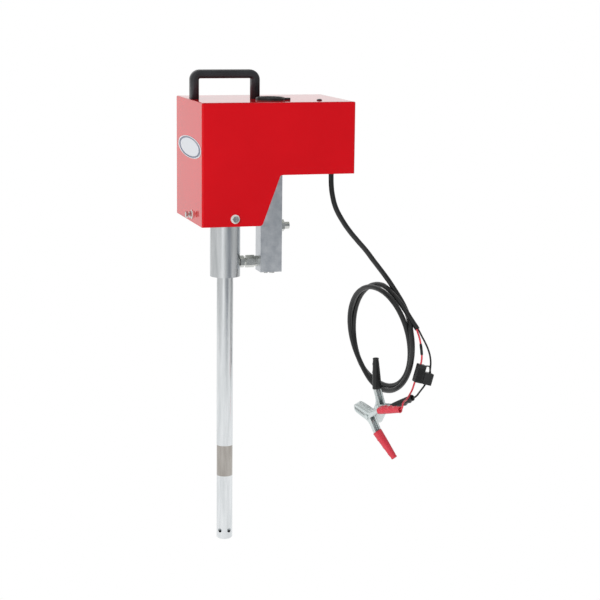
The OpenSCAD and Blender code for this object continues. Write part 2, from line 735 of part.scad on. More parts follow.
module crank_bearing() color(brass_gold) difference() {
    rod_y(0, crank_z, gearbox_y - 3, gearbox_y + bearing_len, bearing_d);
    rod_y(0, crank_z, gearbox_y - 4, gearbox_y + bearing_len + 1, shaft_d + 2 * run);
}

// Output shaft of the gearbox, ending in the crank disc
module crank() color(dark_steel) difference() {
    union() {
        rod_y(0, crank_z, disc_y, disc_y + disc_t, crank_d);
        rod_y(0, crank_z, disc_y + disc_t, gearbox_y - 3 - head_gap, shaft_d + 8);
        rod_y(0, crank_z, disc_y + disc_t, gearbox_y + casing_d - 5, shaft_d);
    }
    rod_y(crank_r, crank_z, disc_y - 1, disc_y + pin_press_len, pin_d);
}

module crank_pin() color(zinc) {
    head_y = yoke_half_t + head_gap;
    rod_y(crank_r, crank_z, -head_y, disc_y + pin_press_len, pin_d);
    rod_y(crank_r, crank_z, -head_y - pin_head_t, -head_y, pin_shoulder_d);
    rod_y(crank_r, crank_z, head_y, disc_y, pin_shoulder_d);
}

// Bronze block that turns on the crank pin and slides in the yoke
module die_block() color(brass_gold) difference() {
    along_y(-yoke_half_t, yoke_half_t) polygon(box_outline(crank_r - die_w / 2, crank_r + die_w / 2,
        crank_z - die_h / 2, crank_z + die_h / 2, 1));
    rod_y(crank_r, crank_z, -yoke_half_t - 1, yoke_half_t + 1, pin_d + 2 * run);
}

module yoke() color(dark_steel) difference() {
    union() {
        along_y(-yoke_half_t, yoke_half_t) polygon(box_outline(-slot_half_w - yoke_rib,
            slot_half_w + yoke_rib, crank_z - slot_half_h - yoke_rib, crank_z + slot_half_h + yoke_rib, 6));
        up(yoke_bottom) cylinder(h = yoke_boss_len + 2, d = yoke_boss_d);
    }
    along_y(-yoke_half_t - 1, yoke_half_t + 1) polygon(box_outline(-slot_half_w, slot_half_w,
        crank_z - slot_half_h, crank_z + slot_half_h, 2));
    up(yoke_bottom - 1) cylinder(h = rod_screw_in + 1.2, d = rod_d + 2 * fit);
}

module piston_rod() color(zinc) {
    up(piston_top) cylinder(h = yoke_bottom + rod_screw_in - piston_top, d = rod_d);
    up(piston_top - rod_neck_len) cylinder(h = rod_neck_len + 1, d = rod_neck_d);
}

// Hollow piston with a seal groove and the cage of the discharge ball
module piston() color(dark_steel) difference() {
    up(piston_top - piston_len) cylinder(h = piston_len, d = bore_d - 2 * run);
    up(piston_top - rod_neck_len - fit) cylinder(h = rod_neck_len + 1, d = rod_neck_d + 2 * fit);
    up(discharge_seat_z) cylinder(h = piston_top - rod_neck_len - discharge_seat_z, r = piston_cage_r);
    up(piston_top - piston_len - 1) cylinder(h = piston_len, r = discharge_seat_r);
    for (a = [0:90:270]) rotate(a) translate([0, 0, discharge_seat_z + 5]) rotate([0, 90, 0])
        cylinder(h = bore_d, r = 1);
    up(piston_top - piston_len + 1) difference() {
        cylinder(h = seal_len - 2, d = bore_d + 2);
        up(-1) cylinder(h = seal_len, d = bore_d - 2 * seal_groove_t);
    }
}

module piston_seal() color(nylon_white) up(piston_top - piston_len + 1.1) difference() {
    cylinder(h = seal_len - 2.2, d = bore_d - 2 * run);
    up(-1) cylinder(h = seal_len, d = bore_d - 2 * seal_groove_t + fit);
}

// Round aluminium body: tube below, grease chamber, packing above and a port to the right
module pump_body() color(aluminium) difference() {
    cylinder(h = body_top, d = body_d);
    up(-1) cylinder(h = mouth_depth + 1, r = tube_d / 2 + fit);
    up(-1) cylinder(h = spigot_len + 2 + 1, r = spigot_r + fit);
    up(spigot_len) cylinder(h = packing_z, d = chamber_d);
    up(packing_z) cylinder(h = body_top, d = packing_d + 2 * fit);
    rod_x(0, link_z, body_flat_x, body_d, hex_af / cos(30) + 2);
    rod_x(0, link_z, 0, body_d, 2 * gallery_r);
    rod_x(0, link_z, body_flat_x - port_depth, body_d, 2 * port_r);
    up(body_top - 16) at_body_screws() cylinder(h = 17, d = m6 + 2 * fit);
}

module rod_seal() color(nylon_white) up(packing_z + 0.2) difference() {
    cylinder(h = seal_h, d = packing_d);
    up(-1) cylinder(h = seal_h + 2, d = rod_d + 2 * run);
}

module gland_nut() color(brass_gold) difference() {
    union() {
        up(packing_z + seal_h + 0.4) cylinder(h = body_top - packing_z - seal_h, d = packing_d);
        up(body_top + 0.2) cylinder(h = gland_hex_h, d = gland_hex_af / cos(30), $fn = 6);
    }
    up(packing_z) cylinder(h = body_top, d = rod_d + 2 * run);
}

// Long suction tube, with slimmer screwed ends
module suction_tube() color(aluminium) difference() {
    union() {
        up(collar_z) cylinder(h = tube_len, d = tube_d);
        cylinder(h = spigot_len, r = spigot_r);
    }
    up(collar_z - 1) cylinder(h = tube_len + spigot_len + 2, r = inside_r);
}

module lock_collar() color(zinc) up(cylinder_z) difference() {
    cylinder(h = collar_len, d = string_d);
    up(-1) cylinder(h = collar_len + 2, r = inside_r);
}

module pump_cylinder() color(dark_steel) difference() {
    union() {
        up(barrel_z) cylinder(h = cylinder_len, d = string_d);
        up(cylinder_z) cylinder(h = collar_len + spigot_len - 2, r = inside_r - fit);
    }
    up(barrel_z - 1) cylinder(h = cylinder_len + collar_len + spigot_len + 2, d = bore_d);
    up(barrel_z - 1) cylinder(h = join_len + 1, r = join_r + fit);
}

module valve_barrel() color(aluminium) difference() {
    union() {
        up(foot_z) cylinder(h = barrel_len, d = string_d);
        up(barrel_z - 1) cylinder(h = join_len - 0.3 + 1, r = join_r);
        up(foot_z - join_len / 2) cylinder(h = join_len, r = join_r);
    }
    up(foot_z + 6) cylinder(h = barrel_len + join_len, d = bore_d);
    up(foot_z - join_len) cylinder(h = barrel_len, r = suction_seat_r);
}

// Foot with the suction valve's seat, a ring of inlet holes and a chamfered open end
module foot_valve() color(aluminium) difference() {
    union() {
        up(foot_bottom + foot_chamfer) cylinder(h = foot_len - foot_chamfer, d = string_d);
        up(foot_bottom) cylinder(h = foot_chamfer, d1 = string_d - 2 * foot_chamfer, d2 = string_d);
    }
    up(foot_z - join_len / 2 - fit) cylinder(h = join_len, r = join_r + fit);
    up(suction_seat_z) cylinder(h = foot_z - suction_seat_z, r = cage_r);
    up(suction_seat_z - seat_len - 1) cylinder(h = seat_len + 2, r = suction_seat_r);
    up(foot_bottom - 1) cylinder(h = suction_seat_z - seat_len - foot_bottom + 1, r = foot_bore_r);
    for (i = [0:inlet_count - 1]) up(inlet_z) rotate(inlet_turn - i * 360 / inlet_count)
        rotate([0, 90, 0]) cylinder(h = tube_d, d = inlet_d);
}

module suction_ball() color(zinc) up(suction_ball_z) sphere(r = suction_ball_r);
module discharge_ball() color(zinc) up(discharge_ball_z) sphere(r = discharge_ball_r);

// Milled block with its grease gallery, ports and the relief valve's bore
module control_block() color(aluminium) difference() {
    translate([block_x, -block_d / 2, block_z]) cube([block_w, block_d, shelf_z - block_z]);
    translate([gallery_x, 0, block_z - 1]) cylinder(h = outlet_z - block_z + 1 + gallery_r, r = gallery_r);
    rod_x(0, link_z, block_x - 1, gallery_x, 2 * gallery_r);
    rod_x(0, link_z, block_x - 1, block_x + port_depth, 2 * port_r);
    rod_x(0, outlet_z, gallery_x, block_x + block_w + 1, 2 * gallery_r);
    rod_x(0, outlet_z, block_x + block_w - port_depth, block_x + block_w + 1, 2 * port_r);
    translate([relief_x, 0, block_z - 1])
        cylinder(h = relief_screw_top - block_z + 1, r = relief_screw_r + fit);
    translate([relief_x, 0, block_z]) cylinder(h = relief_seat_z - block_z, r = relief_bore_r + fit);
    translate([relief_x, 0, block_z]) cylinder(h = relief_cross_z - block_z + 2, r = gallery_r - 1);
    rod_x(0, relief_cross_z, gallery_x, relief_x, 2 * gallery_r - 2);
    for (x = block_bolt_x) translate([x, 0, shelf_z - 14]) cylinder(h = 15, d = m6 + 2 * fit);
}

// The gallery's end plug and the relief valve's adjusting screw, side by side under the block
module block_plugs() color(zinc) {
    translate([gallery_x, 0, block_z - plug_below]) {
        cylinder(h = plug_below, r = gallery_plug_r + 0.3);
        cylinder(h = plug_below + 8, r = gallery_r - fit);
    }
    translate([relief_x, 0, block_z - plug_below]) difference() {
        cylinder(h = relief_screw_top - block_z + plug_below - 0.3, r = relief_screw_r);
        up(-1) cylinder(h = 4, d = 5 / cos(30), $fn = 6);
    }
}

module relief_spring() color(zinc) {
    z0 = relief_screw_top;
    z1 = relief_seat_z - poppet_len - 1;
    turns = 6;
    per_turn = 12;
    wire = 1.4;
    last = turns * per_turn;
    cord([for (i = [0:last]) [relief_x + 3.1 * cos(360 * i / per_turn), 3.1 * sin(360 * i / per_turn),
        z0 + wire / 2 + (z1 - z0 - wire) * i / last]], wire, [0, 0, 1], 6);
}

module relief_poppet() color(dark_steel) translate([relief_x, 0, relief_seat_z - poppet_len - 0.7]) {
    cylinder(h = poppet_len - 3, r = relief_bore_r);
    up(poppet_len - 3) cylinder(h = 3.5, r1 = relief_bore_r - 0.6, r2 = gallery_r - 1.3);
}

// Screwed outlet that the grease hose is fitted to
module outlet_nipple() color(zinc) {
    x0 = block_x + block_w;
    difference() {
        union() {
            rod_x(0, outlet_z, x0 - port_depth + 0.3, x0 + 1, thread_d);
            hex_x(outlet_z, x0, x0 + outlet_hex_len, hex_af);
            rod_x(0, outlet_z, x0 + outlet_hex_len - 1, x0 + outlet_hex_len + outlet_len, thread_d);
        }
        rod_x(0, outlet_z, x0 - port_depth - 1, x0 + outlet_hex_len + outlet_len + 1, 2 * outlet_bore_r);
    }
}

// The two screwed nipples of the link: one in the pump body, one in the block
module link_nipples() color(zinc) {
    difference() {
        union() {
            rod_x(0, link_z, body_flat_x - port_depth + 0.3, body_flat_x + 1, thread_d);
            hex_x(link_z, body_flat_x, body_flat_x + nipple_hex_len, hex_af);
            rod_x(0, link_z, body_flat_x + nipple_hex_len - 1, nut_x + nut_len / 2 - 0.2, 2 * neck_r);
        }
        rod_x(0, link_z, body_flat_x - port_depth - 1, nut_x + nut_len, 2 * gallery_r);
    }
    difference() {
        union() {
            rod_x(0, link_z, block_x - 1, block_x + port_depth - 0.3, thread_d);
            hex_x(link_z, block_x - block_hex_len, block_x, hex_af - 2);
            rod_x(0, link_z, nut_x + nut_len / 2, block_x - block_hex_len + 1, 2 * neck_r);
        }
        rod_x(0, link_z, nut_x, block_x + port_depth, 2 * gallery_r);
    }
}

module link_nut() color(zinc) difference() {
    hex_x(link_z, nut_x, nut_x + nut_len, nut_af);
    rod_x(0, link_z, nut_x - 1, nut_x + nut_len + 1, 2 * neck_r + 2 * fit);
}

module supply_cable() color(rubber_black) cord(cable_route, cable_d, coil_axis, 10);
module cable_tail() color(rubber_black) cord(tail_route, cable_d, coil_axis, 10);
module cable_coil() color(rubber_black) translate(coil_centre) rotate([90 + coil_tilt, 0, coil_turn])
    rotate_extrude($fn = 72) translate([coil_r, 0])
        polygon(box_outline(-coil_thick / 2, coil_thick / 2, -coil_wide / 2, coil_wide / 2, 3));
module red_lead_upper() color(pvc_red) cord(red_upper_route, lead_d, coil_axis);
module red_lead_lower() color(pvc_red) cord(red_lower_route, lead_d, coil_axis);
module black_lead() color(rubber_black) cord(black_route, lead_d, coil_axis);

// Blade fuse in its holder, with a tethered cap that pulls off to the right
module at_fuse() translate(fuse_at) rotate([0, fuse_lean, 0]) children();
cap_z = -holder_h / 2;
neck_w = 5;
module fuse_holder() color(satin_black) at_fuse() {
    difference() {
        union() {
            along_y(-holder_d / 2, holder_d / 2)
                polygon(box_outline(0, holder_w, -holder_h / 2, holder_h / 2, 1.5));
            along_y(-4, 4)
                polygon(box_outline(holder_w - 1, holder_w + neck_w, cap_z + 3, cap_z + 19, 0.5));
            for (i = [0:6]) along_y(-holder_d / 2 - 0.7, holder_d / 2 + 0.7)
                polygon(box_outline(2 + 1.8 * i, 2.9 + 1.8 * i, -holder_h / 2 + 3, holder_h / 2 - 7, 0.3));
        }
        for (z = [cap_z + 5, cap_z + 13]) translate([holder_w - 6, -0.6, z]) cube([20, 1.2, 5.4]);
    }
    along_y(-2, 2) polygon([[holder_w - 5, holder_h / 2 - 1], [holder_w + 8, holder_h / 2 + 1],
        [holder_w + 10, holder_h / 2 - 1], [holder_w + 14, cap_z + cap_h + 0.4],
        [holder_w + 12, cap_z + cap_h + 0.4], [holder_w + 7.6, holder_h / 2 - 1],
        [holder_w - 5, holder_h / 2 - 2.6]]);
}
module fuse_cap() color(satin_black) at_fuse() difference() {
    along_y(-cap_d / 2, cap_d / 2) polygon(box_outline(holder_w + cap_gap, holder_w + cap_gap + cap_w,
        cap_z, cap_z + cap_h, 1.5));
    along_y(-cap_d / 2 + cap_wall, cap_d / 2 - cap_wall) polygon(box_outline(holder_w - 1,
        holder_w + cap_gap + cap_w - cap_wall, cap_z + cap_wall, cap_z + cap_h - cap_wall, 0.5));
}
module blade_fuse() color(pvc_red) at_fuse() {
    translate([holder_w + neck_w + 0.3, -2.4, cap_z + 2]) cube([9, 4.8, 18]);
    for (z = [cap_z + 5.2, cap_z + 13.2]) translate([holder_w - 5, -0.4, z]) cube([11, 0.8, 5]);
}

// One stamped lever of a clamp, jaw along +X, grip arm up and back; a channel open downwards
module lever(width) {
    e = arm_half;
    back = [arm_end + arm_out * e, arm_bend + arm_out * e, [-7, 15], [1, 11.5], [14, 11],
        [jaw_len - 9, 10.5], [jaw_len - 3, 8], [jaw_len, 3.5]];
    teeth = [for (x = [jaw_len:-tooth_pitch:first_tooth])
        each [[x, teeth_gap], [x - tooth_pitch / 2, teeth_gap + tooth_depth]]];
    lug = [for (a = [-10:-20:-170]) lug_r * [cos(a), sin(a)]];
    inner = [arm_bend - arm_out * e, arm_end - arm_out * e];
    t = clamp_sheet;
    void = [arm_end + arm_out * (e - t) + arm_dir * 5, arm_bend + arm_out * (e - t), [-7.3, 15 - 1.3 * t],
        [1, 11.5 - t], [14, 11 - t], [jaw_len - 9, 10.5 - t], [jaw_len - 3.8, 8 - t], [jaw_len - t, 3],
        [jaw_len - t, -12], [-12, -12], arm_bend - arm_out * 2 * e,
        arm_end - arm_out * 2 * e + arm_dir * 5];
    difference() {
        along_y(-width / 2, width / 2) polygon(concat(back, teeth, lug, inner));
        along_y(-width / 2 + t, width / 2 - t) polygon(void);
        rod_y(0, 0, -width, width, pivot_d + 2 * run);
    }
}
module outer_lever() lever(clamp_w);
module inner_lever() mirror([0, 0, 1]) lever(inner_w);

// Soft sleeve over the straight part of an arm
module grip(width) {
    half_w = width / 2 + 0.15;
    half_t = arm_half + 0.15;
    angle = atan2(arm_dir[1], arm_dir[0]);
    translate([arm_end[0], 0, arm_end[1]]) rotate([0, -angle, 0])
        along_x(-sleeve_len + grip_over, grip_over) difference() {
            polygon(box_outline(-half_w - grip_wall, half_w + grip_wall,
                -half_t - grip_wall, half_t + grip_wall, 4));
            polygon(box_outline(-half_w, half_w, -half_t, half_t, 0.5));
        }
}
module pivot_pin() {
    half = clamp_w / 2 + fit;
    rod_y(0, 0, -half - 1.6, half + 1.6, pivot_d);
    for (y = [-half - 1.6, half]) rod_y(0, 0, y, y + 1.6, pivot_d + 3);
}
module torsion_spring() {
    per_turn = 12;
    pitch = spring_wire + 0.2;
    last = spring_turns * per_turn;
    cord(concat([[-15.4, -pitch * spring_turns / 2, 22.3], [-7.2, -pitch * spring_turns / 2, 11.6]],
        [for (i = [0:last]) let(a = 150 - 360 * i / per_turn)
            [spring_r * cos(a), pitch * (i / per_turn - spring_turns / 2), spring_r * sin(a)]]),
        spring_wire, [0, 1, 0], 6);
}
module at_red() translate(red_pivot) rotate(red_turn) children();
module at_black() translate(black_pivot) rotate(black_turn) children();

module clamp_fixed_levers() color(zinc) {
    at_red() outer_lever();
    at_black() outer_lever();
}
module red_moving_lever() color(zinc) at_red() inner_lever();
module black_moving_lever() color(zinc) at_black() inner_lever();
module clamp_pins() color(zinc) {
    at_red() pivot_pin();
    at_black() pivot_pin();
}
module clamp_springs() color(dark_steel) {
    at_red() torsion_spring();
    at_black() torsion_spring();
}
module red_fixed_grip() color(pvc_red) at_red() grip(clamp_w);
module red_moving_grip() color(pvc_red) at_red() mirror([0, 0, 1]) grip(inner_w);
module black_fixed_grip() color(rubber_black) at_black() grip(clamp_w);
module black_moving_grip() color(rubber_black) at_black() mirror([0, 0, 1]) grip(inner_w);

cover();
chassis_plate();
carry_handle();
handle_screws();
cover_screws();
cover_washers();
top_screw();
service_plug();
cable_grommet();
thermal_breaker();
inner_leads();
motor_can();
motor_end_cap();
gearbox_housing();
gearbox_cover();
drive_bracket();
frame_screws();
crank_bearing();
crank();
crank_pin();
die_block();
yoke();
piston_rod();
piston();
piston_seal();
pump_body();
rod_seal();
gland_nut();
suction_tube();
lock_collar();
pump_cylinder();
valve_barrel();
foot_valve();
suction_ball();
discharge_ball();
control_block();
block_plugs();
relief_spring();
relief_poppet();
outlet_nipple();
link_nipples();
link_nut();
supply_cable();
cable_coil();
cable_tail();
red_lead_upper();
red_lead_lower();
black_lead();
fuse_holder();
fuse_cap();
blade_fuse();
clamp_fixed_levers();
red_moving_lever();
black_moving_lever();
clamp_pins();
clamp_springs();
red_fixed_grip();
red_moving_grip();
black_fixed_grip();
black_moving_grip();
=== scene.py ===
# Electric grease pump for a pail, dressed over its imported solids. Metres, in the part's own frame;
# sizes written in millimetres are multiplied by mm.
import math

import bmesh
import bpy
from mathutils import Euler, Matrix, Vector


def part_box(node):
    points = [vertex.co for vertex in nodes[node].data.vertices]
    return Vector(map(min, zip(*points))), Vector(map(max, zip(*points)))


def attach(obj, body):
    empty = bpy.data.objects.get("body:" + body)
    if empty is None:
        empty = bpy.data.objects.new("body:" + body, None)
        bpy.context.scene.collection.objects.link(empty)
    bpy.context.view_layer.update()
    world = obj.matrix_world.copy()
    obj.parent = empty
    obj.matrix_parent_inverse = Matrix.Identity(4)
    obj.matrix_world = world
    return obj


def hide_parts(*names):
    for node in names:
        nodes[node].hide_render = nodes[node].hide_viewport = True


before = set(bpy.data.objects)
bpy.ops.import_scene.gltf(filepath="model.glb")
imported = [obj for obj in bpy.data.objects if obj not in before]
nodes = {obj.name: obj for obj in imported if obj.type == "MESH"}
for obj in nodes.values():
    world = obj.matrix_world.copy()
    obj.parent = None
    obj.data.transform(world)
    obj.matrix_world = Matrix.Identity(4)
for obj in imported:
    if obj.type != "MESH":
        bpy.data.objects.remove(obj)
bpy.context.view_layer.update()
mm = 0.001

# Camera and studio.
# The product stands on white and is seen from its front left, a little above the middle, through a
# long lens. A white sweep stands behind it and the room in front is dim, with one narrow light strip.
scene = bpy.context.scene
scene.view_settings.view_transform = "Standard"

azimuth, elevation, roll = math.radians(-16.68), math.radians(10.65), math.radians(0.62)
away = Vector((math.sin(azimuth) * math.cos(elevation), -math.cos(azimuth) * math.cos(elevation),
               math.sin(elevation)))
level = Vector((math.cos(azimuth), math.sin(azimuth), 0))
upright = away.cross(level)
camera_right = level * math.cos(roll) + upright * math.sin(roll)
camera_up = upright * math.cos(roll) - level * math.sin(roll)
camera = bpy.data.objects.new("camera", bpy.data.cameras.new("camera"))
camera.data.lens = 100.1
camera.data.sensor_width = 36
camera.data.clip_start, camera.data.clip_end = 0.1, 400
place = Matrix((camera_right, camera_up, away)).transposed().to_4x4()
place.translation = (-0.7271, -2.9034, 0.5186)
camera.matrix_world = place
scene.collection.objects.link(camera)
scene.camera = camera


def add_node(tree, kind, links=None, stops=None, **settings):
    """One shader node: settings are its properties, links its inputs, each a value or a socket, and
    stops the (position, hex colour) pairs of a colour ramp."""
    made = tree.nodes.new(kind)
    for name, value in settings.items():
        setattr(made, name, value)
    for key, value in (links or {}).items():
        if isinstance(value, bpy.types.NodeSocket):
            tree.links.new(value, made.inputs[key])
        else:
            made.inputs[key].default_value = value
    if stops:
        elements = made.color_ramp.elements
        while len(elements) < len(stops):
            elements.new(0.5)
        for element, (position, hex_value) in zip(elements, stops):
            element.position = position
            element.color = colour(hex_value)
    return made


def colour(hex_value):
    """An sRGB hex value as linear RGBA."""
    parts = [int(hex_value[i:i + 2], 16) / 255 for i in (1, 3, 5)]
    return (*[p / 12.92 if p <= 0.04045 else ((p + 0.055) / 1.055) ** 2.4 for p in parts], 1.0)


# What metal and gloss see round the room, by compass direction in degrees from the front towards the
# right: the white sweep behind, grey walls at the sides, and in front a dim room with a bright strip.
room_tones = [(-180, "#ffffff"), (-163, "#ffffff"), (-156, "#cecece"), (-104, "#cecece"), (-69, "#d7d7d7"),
              (-40, "#e0e0e0"), (-34, "#ffffff"), (-23, "#ffffff"), (-17, "#cbcbcb"), (-6, "#c4c6c8"),
              (8, "#8f9398"), (27, "#85898f"), (40, "#aaaaaa"), (57, "#c4c4c4"), (91, "#adadad"),
              (128, "#d8d8d8"), (150, "#ececec"), (163, "#ffffff"), (180, "#ffffff")]
world = bpy.data.worlds.new("studio")
scene.world = world
world.use_nodes = True
room = world.node_tree
room.nodes.clear()
looking = add_node(room, "ShaderNodeTexCoord").outputs["Generated"]
axes = add_node(room, "ShaderNodeSeparateXYZ", {0: looking})
backwards = add_node(room, "ShaderNodeMath", {0: axes.outputs["Y"], 1: -1.0}, operation="MULTIPLY").outputs[0]
compass = add_node(room, "ShaderNodeMath", {0: axes.outputs["X"], 1: backwards},
                   operation="ARCTAN2").outputs[0]
turn = add_node(room, "ShaderNodeMapRange",
                {"Value": compass, "From Min": -math.pi, "From Max": math.pi}).outputs[0]
tones = add_node(room, "ShaderNodeValToRGB", {"Fac": turn},
                 stops=[((angle + 180) / 360, tone) for angle, tone in room_tones]).outputs["Color"]
# What lights matt surfaces: strong from the low white surfaces round the pump, and weak from above.
soft_from, soft_to, low_light, high_light = -0.1, 0.3, 1.38, 0.22
soft_level = add_node(room, "ShaderNodeMapRange",
                      {"Value": axes.outputs["Z"], "From Min": soft_from, "From Max": soft_to,
                       "To Min": low_light, "To Max": high_light}).outputs[0]
ray = add_node(room, "ShaderNodeLightPath").outputs
seen = add_node(room, "ShaderNodeBackground", {"Color": (1, 1, 1, 1), "Strength": 1.0}).outputs[0]
gleam = add_node(room, "ShaderNodeBackground", {"Color": tones, "Strength": 1.0}).outputs[0]
fill = add_node(room, "ShaderNodeBackground", {"Color": (1, 1, 1, 1), "Strength": soft_level}).outputs[0]
soft = add_node(room, "ShaderNodeMixShader", {0: ray["Is Diffuse Ray"], 1: gleam, 2: fill}).outputs[0]
through = add_node(room, "ShaderNodeMath", {0: ray["Is Camera Ray"], 1: ray["Is Transmission Ray"]},
                   operation="MAXIMUM").outputs[0]
mixed = add_node(room, "ShaderNodeMixShader", {0: through, 1: soft, 2: seen}).outputs[0]
add_node(room, "ShaderNodeOutputWorld", {"Surface": mixed})

# Key lamp.
# One large soft lamp at the upper left of the camera, which metal and gloss don't mirror.
key_place, key_target = Vector((-2.6, -2.4, 1.55)), Vector((0.05, 0, 0.05))
lamp = bpy.data.lights.new("key", "AREA")
lamp.shape = "DISK"
lamp.size = 0.7
lamp.energy = 62
key = bpy.data.objects.new("key", lamp)
key.location = key_place
key.rotation_euler = (key_target - key_place).to_track_quat("-Z", "Y").to_euler()
key.visible_glossy = False
scene.collection.objects.link(key)

# Floor.
# Plain and pale, 0.3 m below the foot, it throws light up at matt surfaces. The camera and reflections
# see it as plain white.
floor_z, floor_half = -0.8, 3.0
floor_mesh = bpy.data.meshes.new("floor")
floor_mesh.from_pydata([(-floor_half, -floor_half, floor_z), (floor_half, -floor_half, floor_z),
                        (floor_half, floor_half, floor_z), (-floor_half, floor_half, floor_z)], [],
                       [(0, 1, 2, 3)])
floor = bpy.data.objects.new("floor", floor_mesh)
scene.collection.objects.link(floor)
floor_material = bpy.data.materials.new("white_floor")
floor_material.use_nodes = True
tree = floor_material.node_tree
tree.nodes.clear()
matt = add_node(tree, "ShaderNodeBsdfDiffuse", {"Color": colour("#f2f2f2")}).outputs[0]
lit = add_node(tree, "ShaderNodeEmission", {"Color": (1, 1, 1, 1), "Strength": 1.0}).outputs[0]
ray = add_node(tree, "ShaderNodeLightPath").outputs
background = add_node(tree, "ShaderNodeMath", {0: ray["Is Camera Ray"], 1: ray["Is Glossy Ray"]},
                      operation="MAXIMUM").outputs[0]
both = add_node(tree, "ShaderNodeMixShader", {0: background, 1: matt, 2: lit}).outputs[0]
add_node(tree, "ShaderNodeOutputMaterial", {"Surface": both})
floor_mesh.materials.append(floor_material)

# Battery cable.
# Two-core cable of 9.6 mm in a moulded rubber sheath, pushed up through its grommet. It drops from the
# overhang, makes two loose turns that cross twice, and ends where its sheath is cut and the leads
# come out.


def new_material(name, **inputs):
    """A Principled material with its uniform inputs set; returns it, its tree and its shader."""
    material = bpy.data.materials.new(name)
    material.use_nodes = True
    shader = material.node_tree.nodes["Principled BSDF"]
    for key, value in inputs.items():
        shader.inputs[key.replace("_", " ")].default_value = value
    return material, material.node_tree, shader


def dress(material, *names):
    """Puts a material on CAD nodes."""
    for name in names:
        mesh = nodes[name].data
        mesh.materials.clear()
        mesh.materials.append(material)


def cord_curve(name, points, diameter, material):
    """A round cord as one open spline through points in millimetres."""
    data = bpy.data.curves.new(name, "CURVE")
    data.dimensions = "3D"
    data.bevel_depth = diameter / 2 * mm
    data.bevel_resolution = 4
    data.resolution_u = 6
    data.use_fill_caps = True
    spline = data.splines.new("BEZIER")
    spline.bezier_points.add(len(points) - 1)
    for knot, point in zip(spline.bezier_points, points):
        knot.co = Vector(point) * mm
        knot.handle_left_type = knot.handle_right_type = "AUTO"
    data.materials.append(material)
    made = bpy.data.objects.new(name, data)
    scene.collection.objects.link(made)
    return made


cable_d = 9.6
drop = [(196, -12, 196), (196, -12, 178), (196.1, -14, 160), (197, -18, 145), (201.4, -25, 122.4),
        (213.3, -29, 98.9), (227.3, -30, 78.9), (244.5, -27, 59.5), (262.5, -23, 40.2),
        (278.1, -20, 20.9), (291, -18.5, 5.2), (303.6, -19, -11.1), (310.7, -21, -21.3),
        (318, -25.5, -33.7), (324.4, -33, -45.9), (328.3, -43, -56.3), (329.9, -54.5, -65.2),
        (330, -67, -74.3), (328.8, -81, -84.5)]


def loop(centre, radius, azimuth_deg, tilt_deg):
    """A turn of the coil as a function of the angle from its front, in millimetres and degrees."""
    turned, tilted = math.radians(azimuth_deg), math.radians(tilt_deg)
    axis = Vector((math.cos(turned) * math.cos(tilted), math.sin(turned) * math.cos(tilted),
                   math.sin(tilted)))
    front = axis.cross(Vector((0, 0, 1))).normalized()
    top = front.cross(axis)
    return lambda angle: Vector(centre) + radius * (math.cos(math.radians(angle)) * front
                                                    + math.sin(math.radians(angle)) * top)


outer_loop = loop((304.2, -3, -129.7), 100.9, 13.9, 1.8)
inner_loop = loop((299.8, 1, -128.3), 95.9, 16.4, 8.0)
# The cable starts on the outer loop, passes to the inner one and back, and moves aside by 5 mm where it
# crosses itself. Angles are in degrees.
coil_start, coil_turned, coil_step = 17, 630, 10
first_crossing, second_crossing, crossing_len = 125, 485, 50
aside_most, aside_dir = 5, Vector((-0.48, -0.62, 0.62))
coil = []
for turned in range(0, coil_turned + 1, coil_step):
    first_change = min(1, max(0, (turned - first_crossing) / crossing_len))
    second_change = min(1, max(0, (turned - second_crossing) / crossing_len))
    to_inner = first_change - second_change
    to_inner = to_inner * to_inner * (3 - 2 * to_inner)
    aside = aside_most * (math.sin(math.pi * second_change) - math.sin(math.pi * first_change))
    angle = coil_start - turned
    coil.append(outer_loop(angle).lerp(inner_loop(angle), to_inner) - aside * aside_dir)
tail = [(301.1, -3.8, -28.8), (304.3, -17, -30.8), (308.8, -33, -36.9), (313.5, -48.5, -45.2),
        (318.8, -61, -55), (324.6, -71.5, -66.4), (331.5, -83.5, -81.1), (338.4, -98, -96)]
cable_points = drop + coil + tail

# Chloroprene rubber is a soft black with pale bloom in patches. Its skin grain is drawn coarser than it
# is, to show.
bloom_patch, skin_grain = 18.2 * mm, 1.43 * mm
rubber, tree, shader = new_material("chloroprene_rubber", Roughness=0.34, Specular_IOR_Level=0.5)
where = add_node(tree, "ShaderNodeTexCoord").outputs["Object"]
bloom = add_node(tree, "ShaderNodeTexNoise",
                 {"Vector": where, "Scale": 1 / bloom_patch, "Detail": 4}).outputs["Fac"]
tone = add_node(tree, "ShaderNodeValToRGB", {"Fac": bloom},
                stops=[(0.3, "#141516"), (0.7, "#1e2020")]).outputs["Color"]
tree.links.new(tone, shader.inputs["Base Color"])
skin = add_node(tree, "ShaderNodeTexNoise",
                {"Vector": where, "Scale": 1 / skin_grain, "Detail": 2}).outputs["Fac"]
grain = add_node(tree, "ShaderNodeBump",
                 {"Height": skin, "Strength": 0.12, "Distance": 0.0003}).outputs["Normal"]
tree.links.new(grain, shader.inputs["Normal"])
cable = cord_curve("battery_cable", cable_points, cable_d, rubber)
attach(cable, "frame")
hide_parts("supply_cable", "cable_coil", "cable_tail")
dress(rubber, "cable_grommet", "service_plug")

